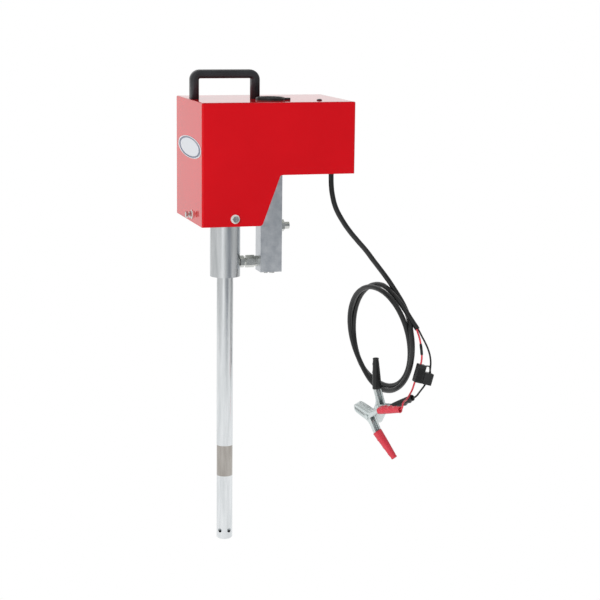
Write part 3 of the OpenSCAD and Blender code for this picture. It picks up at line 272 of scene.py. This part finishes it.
# Leads to the clamps.
# Two single-core leads of 3.4 mm in extruded PVC and rubber. The red one runs through a splice to the
# fuse holder and on to the red clamp; the black one hangs wide of the holder to the black clamp.
lead_d = 3.4
red_upper = [(336.6, -98.6, -96.3), (337.8, -100.6, -100.6), (340.6, -103, -110.3), (342.5, -106, -122.1),
             (343.4, -108.5, -133.6), (343.6, -110.6, -142.5), (342.7, -112, -153.3), (341.1, -113, -158.8)]
black_run = [(339.9, -98.3, -96.6), (342.6, -99.2, -101.4), (346.6, -100, -109.3), (353.6, -100, -121.8),
             (360.7, -100, -137.2), (364.6, -100, -151.6), (365.3, -100.2, -166.7), (362.3, -101, -183.4),
             (354.7, -103, -199.5), (343.8, -112, -207.3), (335.4, -121.4, -210.7), (332.2, -126.3, -211.4),
             (329.9, -128.6, -212.6), (327.4, -129.1, -214.4), (325.2, -128, -216.4),
             (322.9, -123.5, -219.2), (320.9, -118.6, -222.1)]
red_lower = [(330.2, -113, -191.1), (329.4, -113, -194.1), (324.5, -116.5, -204.4), (317.7, -123, -211.1),
             (310.4, -131.5, -215.3), (303, -141.5, -217.5), (296.8, -151, -216.6), (292.3, -158.2, -216.9),
             (289.6, -162.2, -219.3), (288.6, -163.2, -223.3), (288.3, -161.2, -227.3),
             (287.3, -156.8, -229.9), (284.5, -151.2, -230.5)]
# Plasticised PVC, extruded or dipped, is a warm glossy red that handling scuffs dull in patches.
scuff_patch = 22.2 * mm
red_pvc, tree, shader = new_material("red_pvc", Roughness=0.32)
where = add_node(tree, "ShaderNodeTexCoord").outputs["Object"]
scuff = add_node(tree, "ShaderNodeTexNoise",
                 {"Vector": where, "Scale": 1 / scuff_patch, "Detail": 3}).outputs["Fac"]
tone = add_node(tree, "ShaderNodeValToRGB", {"Fac": scuff},
                stops=[(0.3, "#ea3f50"), (0.7, "#f04c5a")]).outputs["Color"]
tree.links.new(tone, shader.inputs["Base Color"])
dull = add_node(tree, "ShaderNodeMapRange", {"Value": scuff, "To Min": 0.3, "To Max": 0.4}).outputs[0]
tree.links.new(dull, shader.inputs["Roughness"])
leads = {}
for name, points, node, finish, material in (
        ("red_lead_to_fuse", red_upper, "red_lead_upper", "pvc_red", red_pvc),
        ("red_lead_to_clamp", red_lower, "red_lead_lower", "pvc_red", red_pvc),
        ("black_lead_to_clamp", black_run, "black_lead", "rubber_black", rubber)):
    leads[name] = cord_curve(name, points, lead_d, material)
    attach(leads[name], "frame")
    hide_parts(node)

# Heat-shrink sleeve.
# A short black polyolefin tube, shrunk over the splice in the red lead, so that it follows the lead
# and is a little lumpy where the crimp lies under it.


def mesh_piece(name, rings, material, closed_ends=True):
    """A mesh through rings of points in metres, each ring with as many points as the next."""
    shape = bmesh.new()
    loops = [[shape.verts.new(point) for point in ring] for ring in rings]
    count = len(rings[0])
    for lower, upper in zip(loops, loops[1:]):
        for i in range(count):
            shape.faces.new((lower[i], lower[(i + 1) % count], upper[(i + 1) % count], upper[i]))
    if closed_ends:
        shape.faces.new(reversed(loops[0]))
        shape.faces.new(loops[-1])
    bmesh.ops.recalc_face_normals(shape, faces=shape.faces)
    mesh = bpy.data.meshes.new(name)
    shape.to_mesh(mesh)
    shape.free()
    for face in mesh.polygons:
        face.use_smooth = True
    mesh.materials.append(material)
    made = bpy.data.objects.new(name, mesh)
    scene.collection.objects.link(made)
    return made


def tube_rings(points, radii, count=16):
    """Rings round a route in millimetres, as points in metres."""
    rings = []
    for k, (point, radius) in enumerate(zip(points, radii)):
        ahead = Vector(points[min(k + 1, len(points) - 1)]) - Vector(points[max(k - 1, 0)])
        side = ahead.cross(Vector((0, 1, 0))).normalized()
        over = ahead.cross(side).normalized()
        rings.append([(Vector(point) + radius * (math.cos(a) * side + math.sin(a) * over)) * mm
                      for a in (2 * math.pi * i / count for i in range(count))])
    return rings


splice_from, splice_to, splice_steps = 3, 5, 8
sleeve_r, crimp_rise, lump_rise, lump_turns = 2.05, 0.55, 0.12, 9
splice_points, splice_radii = [], []
for k in range(splice_from, splice_to):
    start, end = Vector(red_upper[k]), Vector(red_upper[k + 1])
    for step in range(splice_steps):
        splice_points.append(start.lerp(end, step / splice_steps))
splice_points.append(Vector(red_upper[splice_to]))
for k in range(len(splice_points)):
    along = k / (len(splice_points) - 1)
    splice_radii.append(sleeve_r + crimp_rise * math.sin(math.pi * along) ** 0.6
                        + lump_rise * math.sin(lump_turns * along))
splice = mesh_piece("splice_sleeve", tube_rings(splice_points, splice_radii), rubber)
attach(splice, "frame")

# Fuse holder.
# A holder for a blade fuse, moulded in black ABS with a ribbed body and a tethered cap. The tool is
# spark-eroded, which leaves it half gloss; the grain is drawn coarser than it is, to show.
flow_mark, spark_grain = 11.1 * mm, 0.91 * mm
abs_black, tree, shader = new_material("moulded_abs", Roughness=0.4)
where = add_node(tree, "ShaderNodeTexCoord").outputs["Object"]
flow = add_node(tree, "ShaderNodeTexNoise",
                {"Vector": where, "Scale": 1 / flow_mark, "Detail": 3}).outputs["Fac"]
tone = add_node(tree, "ShaderNodeValToRGB", {"Fac": flow},
                stops=[(0.3, "#18191a"), (0.7, "#222324")]).outputs["Color"]
tree.links.new(tone, shader.inputs["Base Color"])
spark = add_node(tree, "ShaderNodeTexNoise", {"Vector": where, "Scale": 1 / spark_grain}).outputs["Fac"]
grain = add_node(tree, "ShaderNodeBump",
                 {"Height": spark, "Strength": 0.2, "Distance": 0.0002}).outputs["Normal"]
tree.links.new(grain, shader.inputs["Normal"])
dress(abs_black, "fuse_holder", "fuse_cap", "thermal_breaker", "motor_end_cap")
dress(red_pvc, "blade_fuse", "inner_leads")

# Battery clamps.
# Each has two levers stamped from 1.2 mm steel sheet and folded to channels with cut teeth, one nested
# in the other on a riveted pin. They are zinc-plated with a bluish passivation, satin and mottled.
bath_patch = 33.3 * mm
clamp_zinc, tree, shader = new_material("blue_zinc", Metallic=0.8, Roughness=0.36)
where = add_node(tree, "ShaderNodeTexCoord").outputs["Object"]
bath = add_node(tree, "ShaderNodeTexNoise",
                {"Vector": where, "Scale": 1 / bath_patch, "Detail": 3, "Roughness": 0.5}).outputs["Fac"]
tone = add_node(tree, "ShaderNodeValToRGB", {"Fac": bath},
                stops=[(0.3, "#d0dada"), (0.7, "#e0e7e6")]).outputs["Color"]
tree.links.new(tone, shader.inputs["Base Color"])
dull = add_node(tree, "ShaderNodeMapRange", {"Value": bath, "To Min": 0.26, "To Max": 0.36}).outputs[0]
tree.links.new(dull, shader.inputs["Roughness"])
dress(clamp_zinc, "clamp_pins")

# A clamp's own frame is in millimetres: its pin lies along Y through the origin, its jaws point to +X
# and its fixed lever is on the side of +Z. The moving lever is the same form turned over, and narrower.
arm_bend, arm_end, arm_half, arm_tip_half = Vector((-21, 0, 26)), Vector((-69, 0, 58)), 4.5, 3.9
clamp_w, inner_w, arm_tip_w, clamp_sheet = 17, 14.1, 7.5, 1.2
jaw_len, tooth_pitch, tooth_depth, teeth_gap, lug_r = 36, 4, 2.2, 0.3, 6
fold_r, fold_steps, teeth = 2.6, 4, 7
sleeve_over, hollow_end = 2, 9
arm_dir = (arm_end - arm_bend).normalized()
arm_out = Vector((arm_dir.z, 0, -arm_dir.x))
arm_len = (arm_end - arm_bend).length
clamps = {
    "red": Matrix.Translation(Vector((258, -74, -258.5)) * mm)
    @ Euler([math.radians(a) for a in (-17.5, -20.5, 121)]).to_matrix().to_4x4(),
    "black": Matrix.Translation(Vector((290.8, -43.8, -252.8)) * mm)
    @ Euler([math.radians(a) for a in (180.5, 62, 112.3)]).to_matrix().to_4x4(),
}


def arm_section(width, along):
    """Half width and half thickness of a lever's arm, which tapers from its bend to its end."""
    return (width / 2 + (arm_tip_w / 2 - width / 2) * along,
            arm_half + (arm_tip_half - arm_half) * along)


def lever_stations(width):
    """Back point, edge point and half width of a lever from its nose to the end of its arm."""
    spine = [(-7, 15), (1, 11.5), (14, 11), (27, 10.5), (32, 8.8)]
    half = width / 2

    def back_at(x):
        for (x0, z0), (x1, z1) in zip(spine, spine[1:]):
            if x <= x1:
                return z0 + (z1 - z0) * (x - x0) / (x1 - x0)
        return spine[-1][1]

    # The nose, which is rounded back in three steps.
    stations = [((jaw_len, 1.4), (jaw_len, teeth_gap), half * 0.7),
                ((jaw_len - 0.5, 3.6), (jaw_len - 0.5, teeth_gap + 0.5), half * 0.8),
                ((jaw_len - 1.8, 6.4), (jaw_len - 1.8, teeth_gap + tooth_depth), half * 0.9)]
    # The teeth, as tips and roots in turn.
    for k in range(2 * teeth - 1):
        x = jaw_len - tooth_pitch * (k + 2) / 2
        stations.append(((x, back_at(x)), (x, teeth_gap + tooth_depth * (k % 2)), half))
    # The round lug under the pin, the heel behind it, and the arm.
    for a in (-10, -35, -62, -90, -118, -145, -170):
        x = lug_r * math.cos(math.radians(a))
        stations.append(((x, back_at(x)), (x, lug_r * math.sin(math.radians(a))), half))
    stations.append(((-10.5, 19), (-12, 6.8), half))
    for s in (0, 3, 12, 24, 36, arm_len - hollow_end):
        along = s / arm_len
        middle = arm_bend + arm_dir * s
        half_w, half_t = arm_section(width, along)
        back, edge = middle + arm_out * half_t, middle - arm_out * half_t
        stations.append(((back.x, back.z), (edge.x, edge.z), half_w))
    return stations


def lever_rings(width, flip, clamp):
    """Rings of a pressed channel: outside from one edge over the back to the other, and back inside."""
    rings = []
    for back, edge, half in lever_stations(width):
        top = Vector((back[0], 0, back[1]))
        down = Vector((edge[0] - back[0], 0, edge[1] - back[1]))
        depth = down.length
        down.normalize()
        fold = min(fold_r, half * 0.4, depth * 0.8)
        ring = []
        for shell in (0, clamp_sheet):
            r, w = max(fold - shell, 0.3), half - shell
            deep = min(shell, depth * 0.7)
            side = [(-w, depth)] + [(-w + r - r * math.cos(a), deep + r - r * math.sin(a))
                                    for a in (math.pi / 2 * i / fold_steps for i in range(fold_steps + 1))]
            side += [(-y, v) for y, v in reversed(side)]
            ring += side if shell == 0 else side[::-1]
        points = []
        for y, v in ring:
            point = top + down * v + Vector((0, y, 0))
            if flip:
                point.z = -point.z
            points.append(clamp @ (point * mm))
        rings.append(points)
    return rings


channels = {}
for side in ("red", "black"):
    for part, width, flip, body, node in (("fixed", clamp_w, False, "frame", "clamp_fixed_levers"),
                                          ("moving", inner_w, True, side + "_jaw", side + "_moving_lever")):
        name = side + "_" + part
        channels[name] = mesh_piece(name + "_channel", lever_rings(width, flip, clamps[side]), clamp_zinc)
        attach(channels[name], body)
        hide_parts(node)

# The springs are bare hard-drawn wire, darker than the zinc, with faint marks from the die.
die_mark = 3.33 * mm
spring_steel, tree, shader = new_material("spring_steel", Metallic=1.0, Roughness=0.3)
where = add_node(tree, "ShaderNodeTexCoord").outputs["Object"]
drawn = add_node(tree, "ShaderNodeTexNoise",
                 {"Vector": where, "Scale": 1 / die_mark, "Detail": 3}).outputs["Fac"]
tone = add_node(tree, "ShaderNodeValToRGB", {"Fac": drawn},
                stops=[(0.3, "#6f757a"), (0.7, "#9aa2a8")]).outputs["Color"]
tree.links.new(tone, shader.inputs["Base Color"])
dress(spring_steel, "clamp_springs", "relief_spring")

# Clamp grips.
# Soft dipped PVC sleeves pushed over the arms. They taper from a wide mouth to a round open end with a
# small rolled lip and a dark hollow, and have three finger bumps on their outer side.
grip_wall, grip_fit, grip_stations, grip_sides = 1.6, 0.2, 60, 48
fixed_grip_len, moving_grip_len = 56, 59
# Where something is along a grip, and how far it reaches, are shares of the grip's length.
bump_places, bump_len, bump_rise = (0.25, 0.54, 0.81), 0.035, 1.5
lip_at, lip_len, lip_rise = 0.975, 0.015, 0.5
neck_at, neck_len, neck_depth = 0.93, 0.02, 0.3
edge_len, edge_round = 0.012, 0.9
swell_rise, swell_aside = 0.5, 0.3
mouth_corner, bore_steps = 0.66, (1.0, 0.9, 0.5, 0.0)


def grip_rings(width, flip, clamp, sleeve_len):
    """Rings of a sleeve: outside from its mouth to its open end, then back along its bore."""
    shape = []
    for k in range(grip_stations + 1):
        t = k / grip_stations
        along = (arm_len + sleeve_over - sleeve_len * (1 - t)) / arm_len
        half_w, half_t = (half + grip_fit for half in arm_section(width, along))
        swell = swell_rise * math.sin(math.pi * min(t * 1.2, 1)) ** 0.8
        bumps = sum(bump_rise * math.exp(-((t - at) / bump_len) ** 2) for at in bump_places)
        lip = (lip_rise * math.exp(-((t - lip_at) / lip_len) ** 2)
               - neck_depth * math.exp(-((t - neck_at) / neck_len) ** 2))
        rounding = edge_round * max(0, 1 - min(t, 1 - t) / edge_len)
        shape.append((t, half_w + grip_wall + swell_aside * swell + lip - rounding,
                      half_t + grip_wall + swell + lip - rounding, bumps))
    for t in bore_steps:
        along = (arm_len + sleeve_over - sleeve_len * (1 - t)) / arm_len
        half_w, half_t = (half + grip_fit for half in arm_section(width, along))
        shape.append((t, half_w, half_t, 0))
    rings = []
    for t, half_w, half_t, bumps in shape:
        centre = arm_end + arm_dir * (sleeve_over - sleeve_len * (1 - t))
        corner = mouth_corner + (1 - mouth_corner) * t
        ring = []
        for i in range(grip_sides):
            a = 2 * math.pi * i / grip_sides
            c, s = math.cos(a), math.sin(a)
            across = half_w * math.copysign(abs(c) ** corner, c)
            up = half_t * math.copysign(abs(s) ** corner, s) + bumps * max(0, s) ** 0.7
            point = centre + across * Vector((0, 1, 0)) + up * arm_out
            if flip:
                point.z = -point.z
            ring.append(clamp @ (point * mm))
        rings.append(ring)
    return rings


sleeves = {}
for side, material, finish in (("red", red_pvc, "pvc_red"), ("black", rubber, "rubber_black")):
    for part, width, flip, body, length in (("fixed", clamp_w, False, "frame", fixed_grip_len),
                                            ("moving", inner_w, True, side + "_jaw", moving_grip_len)):
        name = side + "_" + part
        sleeves[name] = mesh_piece(name + "_sleeve", grip_rings(width, flip, clamps[side], length), material,
                                   closed_ends=False)
        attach(sleeves[name], body)
        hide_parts(name + "_grip")

# Cover.
# Steel sheet, folded and welded, open below, and held by a screw through each side. Its red powder
# coat has a faint orange peel and a gloss skin that mirrors the white sweep at a slant.
peel, coat_cloud = 3.5 * mm, 111 * mm
coat, tree, shader = new_material("gloss_powder_coat", Roughness=0.4, Coat_Weight=1.0, Coat_Roughness=0.04,
                                  Coat_IOR=1.4, Specular_IOR_Level=0.0)
where = add_node(tree, "ShaderNodeTexCoord").outputs["Object"]
cloud = add_node(tree, "ShaderNodeTexNoise",
                 {"Vector": where, "Scale": 1 / coat_cloud, "Detail": 4}).outputs["Fac"]
tone = add_node(tree, "ShaderNodeValToRGB", {"Fac": cloud},
                stops=[(0.3, "#d80010"), (0.7, "#df0213")]).outputs["Color"]
tree.links.new(tone, shader.inputs["Base Color"])
waves = add_node(tree, "ShaderNodeTexNoise", {"Vector": where, "Scale": 1 / peel, "Detail": 2}).outputs["Fac"]
bump = add_node(tree, "ShaderNodeBump",
                {"Height": waves, "Strength": 0.06, "Distance": 0.0004}).outputs["Normal"]
tree.links.new(bump, shader.inputs["Coat Normal"])
dress(coat, "cover")

# Carry handle.
# A bridge handle moulded in glass-filled nylon, one oval bar bent through two round corners and
# screwed on from inside. It is satin black; its spark grain is drawn coarser than it is, to show.
fill_flow, nylon_grain = 28.6 * mm, 0.9 * mm
nylon, tree, shader = new_material("glass_filled_nylon", Roughness=0.42)
where = add_node(tree, "ShaderNodeTexCoord").outputs["Object"]
flow = add_node(tree, "ShaderNodeTexNoise",
                {"Vector": where, "Scale": 1 / fill_flow, "Detail": 4}).outputs["Fac"]
tone = add_node(tree, "ShaderNodeValToRGB", {"Fac": flow},
                stops=[(0.3, "#242527"), (0.7, "#303236")]).outputs["Color"]
tree.links.new(tone, shader.inputs["Base Color"])
spark = add_node(tree, "ShaderNodeTexNoise",
                 {"Vector": where, "Scale": 1 / nylon_grain, "Detail": 2}).outputs["Fac"]
grain = add_node(tree, "ShaderNodeBump",
                 {"Height": spark, "Strength": 0.25, "Distance": 0.0003}).outputs["Normal"]
tree.links.new(grain, shader.inputs["Normal"])
handle_t, handle_w = 15.6, 22
handle_box = [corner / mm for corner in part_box("carry_handle")]
foot_z, bar_top = handle_box[0].z, handle_box[1].z
leg_left, leg_right = handle_box[0].x + handle_t / 2, handle_box[1].x - handle_t / 2
outside_corner, corner_steps, bar_sides, oval_power = 18, 12, 40, 0.62
corner_r = outside_corner - handle_t / 2
bar_line = [(leg_left, foot_z, 0)]
for side_x, sign in ((leg_left, 1), (leg_right, -1)):
    arc = []
    for step in range(corner_steps + 1):
        a = math.radians(90 * step / corner_steps)
        arc.append((side_x + sign * corner_r * (1 - math.cos(a)),
                    bar_top - handle_t / 2 - corner_r * (1 - math.sin(a)), a if sign > 0 else math.pi - a))
    bar_line += arc[::sign]
bar_line.append((leg_right, foot_z, math.pi))
handle_rings = []
for x, z, a in bar_line:
    ring = []
    for i in range(bar_sides):
        b = 2 * math.pi * i / bar_sides
        out = handle_t / 2 * math.copysign(abs(math.cos(b)) ** oval_power, math.cos(b))
        deep = handle_w / 2 * math.copysign(abs(math.sin(b)) ** oval_power, math.sin(b))
        ring.append(Vector((x - out * math.cos(a), deep, z + out * math.sin(a))) * mm)
    handle_rings.append(ring)
handle = mesh_piece("bridge_handle", handle_rings, nylon)
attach(handle, "frame")
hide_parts("carry_handle")

# Blank plate.
# A thin oval plate pressed from sheet, flat against the left side. It is enamelled, glossy and pale
# with a raised rim and a blue line round it, and bears nothing.
plate_y, plate_z, plate_half, plate_rise, plate_t = -7, 236, 89, 19, 0.6
plate_gap, plate_sides = 0.02, 64
left_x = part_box("cover")[0][0] / mm
plate_rings = []
plate_floor = plate_t * 0.6
for inset, height in ((0, 0), (0, plate_t), (1.5, plate_t), (2.2, plate_floor), (6, plate_floor),
                      (12, plate_floor)):
    ring = []
    for i in range(plate_sides):
        a = 2 * math.pi * i / plate_sides
        c, s = math.cos(a), math.sin(a)
        ring.append(Vector((left_x - plate_gap - height, plate_y - (plate_half - inset) * c,
                            plate_z + (plate_rise - inset) * math.copysign(abs(s) ** 0.9, s))) * mm)
    plate_rings.append(ring)
enamel, tree, shader = new_material("enamelled_plate", Roughness=0.25)
where = add_node(tree, "ShaderNodeTexCoord").outputs["Object"]
spot = add_node(tree, "ShaderNodeSeparateXYZ", {0: where})
across = add_node(tree, "ShaderNodeMapRange",
                  {"Value": spot.outputs["Y"], "From Min": (plate_y - plate_half) * mm,
                   "From Max": (plate_y + plate_half) * mm, "To Min": -1.0}).outputs[0]
rise = add_node(tree, "ShaderNodeMapRange",
                {"Value": spot.outputs["Z"], "From Min": (plate_z - plate_rise) * mm,
                 "From Max": (plate_z + plate_rise) * mm, "To Min": -1.0}).outputs[0]
plate_spot = add_node(tree, "ShaderNodeCombineXYZ", {"X": across, "Y": rise, "Z": 0.0}).outputs[0]
reach = add_node(tree, "ShaderNodeVectorMath", {0: plate_spot}, operation="LENGTH").outputs["Value"]
band = add_node(tree, "ShaderNodeValToRGB", {"Fac": reach}, stops=[(0.0, "#dfe3ea"), (0.80, "#dfe3ea"),
                (0.82, "#1d3564"), (0.93, "#1d3564"), (0.95, "#e6e9ef"), (1.0, "#e6e9ef")]).outputs["Color"]
tree.links.new(band, shader.inputs["Base Color"])
plate = mesh_piece("blank_plate", plate_rings, enamel)
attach(plate, "frame")

# Screws, washers and fittings.
# Cold-headed screws and turned pipe fittings of steel, in bright zinc that its bath left slightly
# mottled. The cover's screws sit on white nylon washers, with faint flow marks from moulding.
mottle_patch = 11.1 * mm
bright_zinc, tree, shader = new_material("bright_zinc", Metallic=1.0, Roughness=0.24)
where = add_node(tree, "ShaderNodeTexCoord").outputs["Object"]
bath = add_node(tree, "ShaderNodeTexNoise",
                {"Vector": where, "Scale": 1 / mottle_patch, "Detail": 5, "Roughness": 0.6}).outputs["Fac"]
tone = add_node(tree, "ShaderNodeValToRGB", {"Fac": bath},
                stops=[(0.3, "#bfc1bd"), (0.7, "#dcdedb")]).outputs["Color"]
tree.links.new(tone, shader.inputs["Base Color"])
dull = add_node(tree, "ShaderNodeMapRange", {"Value": bath, "To Min": 0.14, "To Max": 0.38}).outputs[0]
tree.links.new(dull, shader.inputs["Roughness"])
dress(bright_zinc, "cover_screws", "outlet_nipple", "link_nipples", "link_nut", "block_plugs",
      "handle_screws", "drive_bracket", "chassis_plate")

# Natural nylon, moulded, is an off-white with a soft gloss.
gate_flow = 5 * mm
white_nylon, tree, shader = new_material("white_nylon", Roughness=0.4)
where = add_node(tree, "ShaderNodeTexCoord").outputs["Object"]
flow = add_node(tree, "ShaderNodeTexNoise",
                {"Vector": where, "Scale": 1 / gate_flow, "Detail": 3}).outputs["Fac"]
tone = add_node(tree, "ShaderNodeValToRGB", {"Fac": flow},
                stops=[(0.3, "#dcdcd8"), (0.7, "#f0f0ee")]).outputs["Color"]
tree.links.new(tone, shader.inputs["Base Color"])
dress(white_nylon, "cover_washers", "piston_seal", "rod_seal")

# Pump body and tube.
# Drawn and turned aluminium, screwed end to end. Fine turning rings spread each reflection up and
# down and keep it narrow from side to side, as tall stripes; they are drawn coarser than they are.
feed, draw_mark, draw_stretch = 1.4 * mm, 5.56 * mm, 0.08
turned_alu, tree, shader = new_material("turned_aluminium", Metallic=1.0, Roughness=0.2,
                                        Anisotropic=0.55)
where = add_node(tree, "ShaderNodeTexCoord").outputs["Object"]
round_axis = add_node(tree, "ShaderNodeTangent", direction_type="RADIAL", axis="Z").outputs[0]
tree.links.new(round_axis, shader.inputs["Tangent"])
stretched = add_node(tree, "ShaderNodeMapping",
                     {"Vector": where, "Scale": (1.0, 1.0, draw_stretch)}).outputs[0]
drawn = add_node(tree, "ShaderNodeTexNoise",
                 {"Vector": stretched, "Scale": 1 / draw_mark, "Detail": 4}).outputs["Fac"]
tone = add_node(tree, "ShaderNodeValToRGB", {"Fac": drawn},
                stops=[(0.3, "#d4d8da"), (0.7, "#e8ebed")]).outputs["Color"]
tree.links.new(tone, shader.inputs["Base Color"])
dull = add_node(tree, "ShaderNodeMapRange", {"Value": drawn, "To Min": 0.14, "To Max": 0.28}).outputs[0]
tree.links.new(dull, shader.inputs["Roughness"])
bands_per_metre = 3  # of the wave pattern at scale 1, about
rings_z = add_node(tree, "ShaderNodeTexWave",
                   {"Vector": where, "Scale": 1 / feed / bands_per_metre, "Distortion": 0.6, "Detail": 2},
                   bands_direction="Z").outputs["Fac"]
lathe = add_node(tree, "ShaderNodeBump",
                 {"Height": rings_z, "Strength": 0.05, "Distance": 0.0001}).outputs["Normal"]
tree.links.new(lathe, shader.inputs["Normal"])
dress(turned_alu, "pump_body", "suction_tube", "valve_barrel", "foot_valve")

# Ground steel, as the dark cylinder near the foot, is warmer and darker than the aluminium and has the
# same tall stripes.
temper_mark, temper_stretch = 7.69 * mm, 0.15
ground_steel, tree, shader = new_material("ground_steel", Metallic=1.0, Roughness=0.2, Anisotropic=0.5)
where = add_node(tree, "ShaderNodeTexCoord").outputs["Object"]
round_axis = add_node(tree, "ShaderNodeTangent", direction_type="RADIAL", axis="Z").outputs[0]
tree.links.new(round_axis, shader.inputs["Tangent"])
stretched = add_node(tree, "ShaderNodeMapping",
                     {"Vector": where, "Scale": (1.0, 1.0, temper_stretch)}).outputs[0]
blued = add_node(tree, "ShaderNodeTexNoise",
                 {"Vector": stretched, "Scale": 1 / temper_mark, "Detail": 4}).outputs["Fac"]
tone = add_node(tree, "ShaderNodeValToRGB", {"Fac": blued},
                stops=[(0.3, "#a39e98"), (0.7, "#bab6b1")]).outputs["Color"]
tree.links.new(tone, shader.inputs["Base Color"])
dress(ground_steel, "pump_cylinder", "lock_collar", "piston_rod", "crank_pin", "suction_ball",
      "discharge_ball")

# Control block.
# A length of drawn rectangular aluminium bar, bored for its ports and fixed up under the overhang.
# Its faces have long fine scratches, drawn coarser than they are, and mottling where it was cleaned.
cleaning_patch, scratch_w, scratch_stretch = 14.3 * mm, 1.11 * mm, 0.05
milled, tree, shader = new_material("drawn_bar_aluminium", Metallic=1.0, Roughness=0.34)
where = add_node(tree, "ShaderNodeTexCoord").outputs["Object"]
mottle = add_node(tree, "ShaderNodeTexNoise",
                  {"Vector": where, "Scale": 1 / cleaning_patch, "Detail": 6,
                   "Roughness": 0.65}).outputs["Fac"]
tone = add_node(tree, "ShaderNodeValToRGB", {"Fac": mottle},
                stops=[(0.3, "#c6cbd0"), (0.7, "#e2e5e8")]).outputs["Color"]
tree.links.new(tone, shader.inputs["Base Color"])
stretched = add_node(tree, "ShaderNodeMapping",
                     {"Vector": where, "Scale": (1.0, 1.0, scratch_stretch)}).outputs[0]
scratch = add_node(tree, "ShaderNodeTexNoise",
                   {"Vector": stretched, "Scale": 1 / scratch_w, "Detail": 3}).outputs["Fac"]
dull = add_node(tree, "ShaderNodeMapRange", {"Value": mottle, "To Min": 0.24, "To Max": 0.46}).outputs[0]
tree.links.new(dull, shader.inputs["Roughness"])
drawn = add_node(tree, "ShaderNodeBump",
                 {"Height": scratch, "Strength": 0.15, "Distance": 0.0002}).outputs["Normal"]
tree.links.new(drawn, shader.inputs["Normal"])
dress(milled, "control_block")

# Drive inside the cover.
# A worm gearbox in a sand-cast aluminium housing, with bronze for its bearing and the sliding block, and
# blackened steel for the crank, the yoke, the motor's can and the screw on top, the one piece that shows.
# The casting is a dull grey; its sand grain is drawn coarser than it is, to show.
sand_grain = 1.43 * mm
cast, tree, shader = new_material("sand_cast_aluminium", Metallic=1.0, Roughness=0.55)
where = add_node(tree, "ShaderNodeTexCoord").outputs["Object"]
sand = add_node(tree, "ShaderNodeTexNoise",
                {"Vector": where, "Scale": 1 / sand_grain, "Detail": 4}).outputs["Fac"]
tone = add_node(tree, "ShaderNodeValToRGB", {"Fac": sand},
                stops=[(0.3, "#9da1a4"), (0.7, "#b9bdc0")]).outputs["Color"]
tree.links.new(tone, shader.inputs["Base Color"])
bump = add_node(tree, "ShaderNodeBump",
                {"Height": sand, "Strength": 0.5, "Distance": 0.0004}).outputs["Normal"]
tree.links.new(bump, shader.inputs["Normal"])
dress(cast, "gearbox_housing", "gearbox_cover")

# Turned bearing bronze is a dull yellow that goes lighter where it wears.
wear_patch = 6.67 * mm
bronze, tree, shader = new_material("bearing_bronze", Metallic=1.0, Roughness=0.3)
where = add_node(tree, "ShaderNodeTexCoord").outputs["Object"]
worn = add_node(tree, "ShaderNodeTexNoise",
                {"Vector": where, "Scale": 1 / wear_patch, "Detail": 4}).outputs["Fac"]
tone = add_node(tree, "ShaderNodeValToRGB", {"Fac": worn},
                stops=[(0.3, "#a8803f"), (0.7, "#c9a35c")]).outputs["Color"]
tree.links.new(tone, shader.inputs["Base Color"])
dress(bronze, "crank_bearing", "die_block", "gland_nut")

# Steel blackened in a hot bath is nearly black, and its oil leaves it uneven.
oil_patch = 9.09 * mm
black_oxide, tree, shader = new_material("black_oxide_steel", Metallic=1.0, Roughness=0.4)
where = add_node(tree, "ShaderNodeTexCoord").outputs["Object"]
oiled = add_node(tree, "ShaderNodeTexNoise",
                 {"Vector": where, "Scale": 1 / oil_patch, "Detail": 4}).outputs["Fac"]
tone = add_node(tree, "ShaderNodeValToRGB", {"Fac": oiled},
                stops=[(0.3, "#3a3c3f"), (0.7, "#55585c")]).outputs["Color"]
tree.links.new(tone, shader.inputs["Base Color"])
dress(black_oxide, "top_screw", "motor_can", "frame_screws", "crank", "yoke", "piston", "relief_poppet")
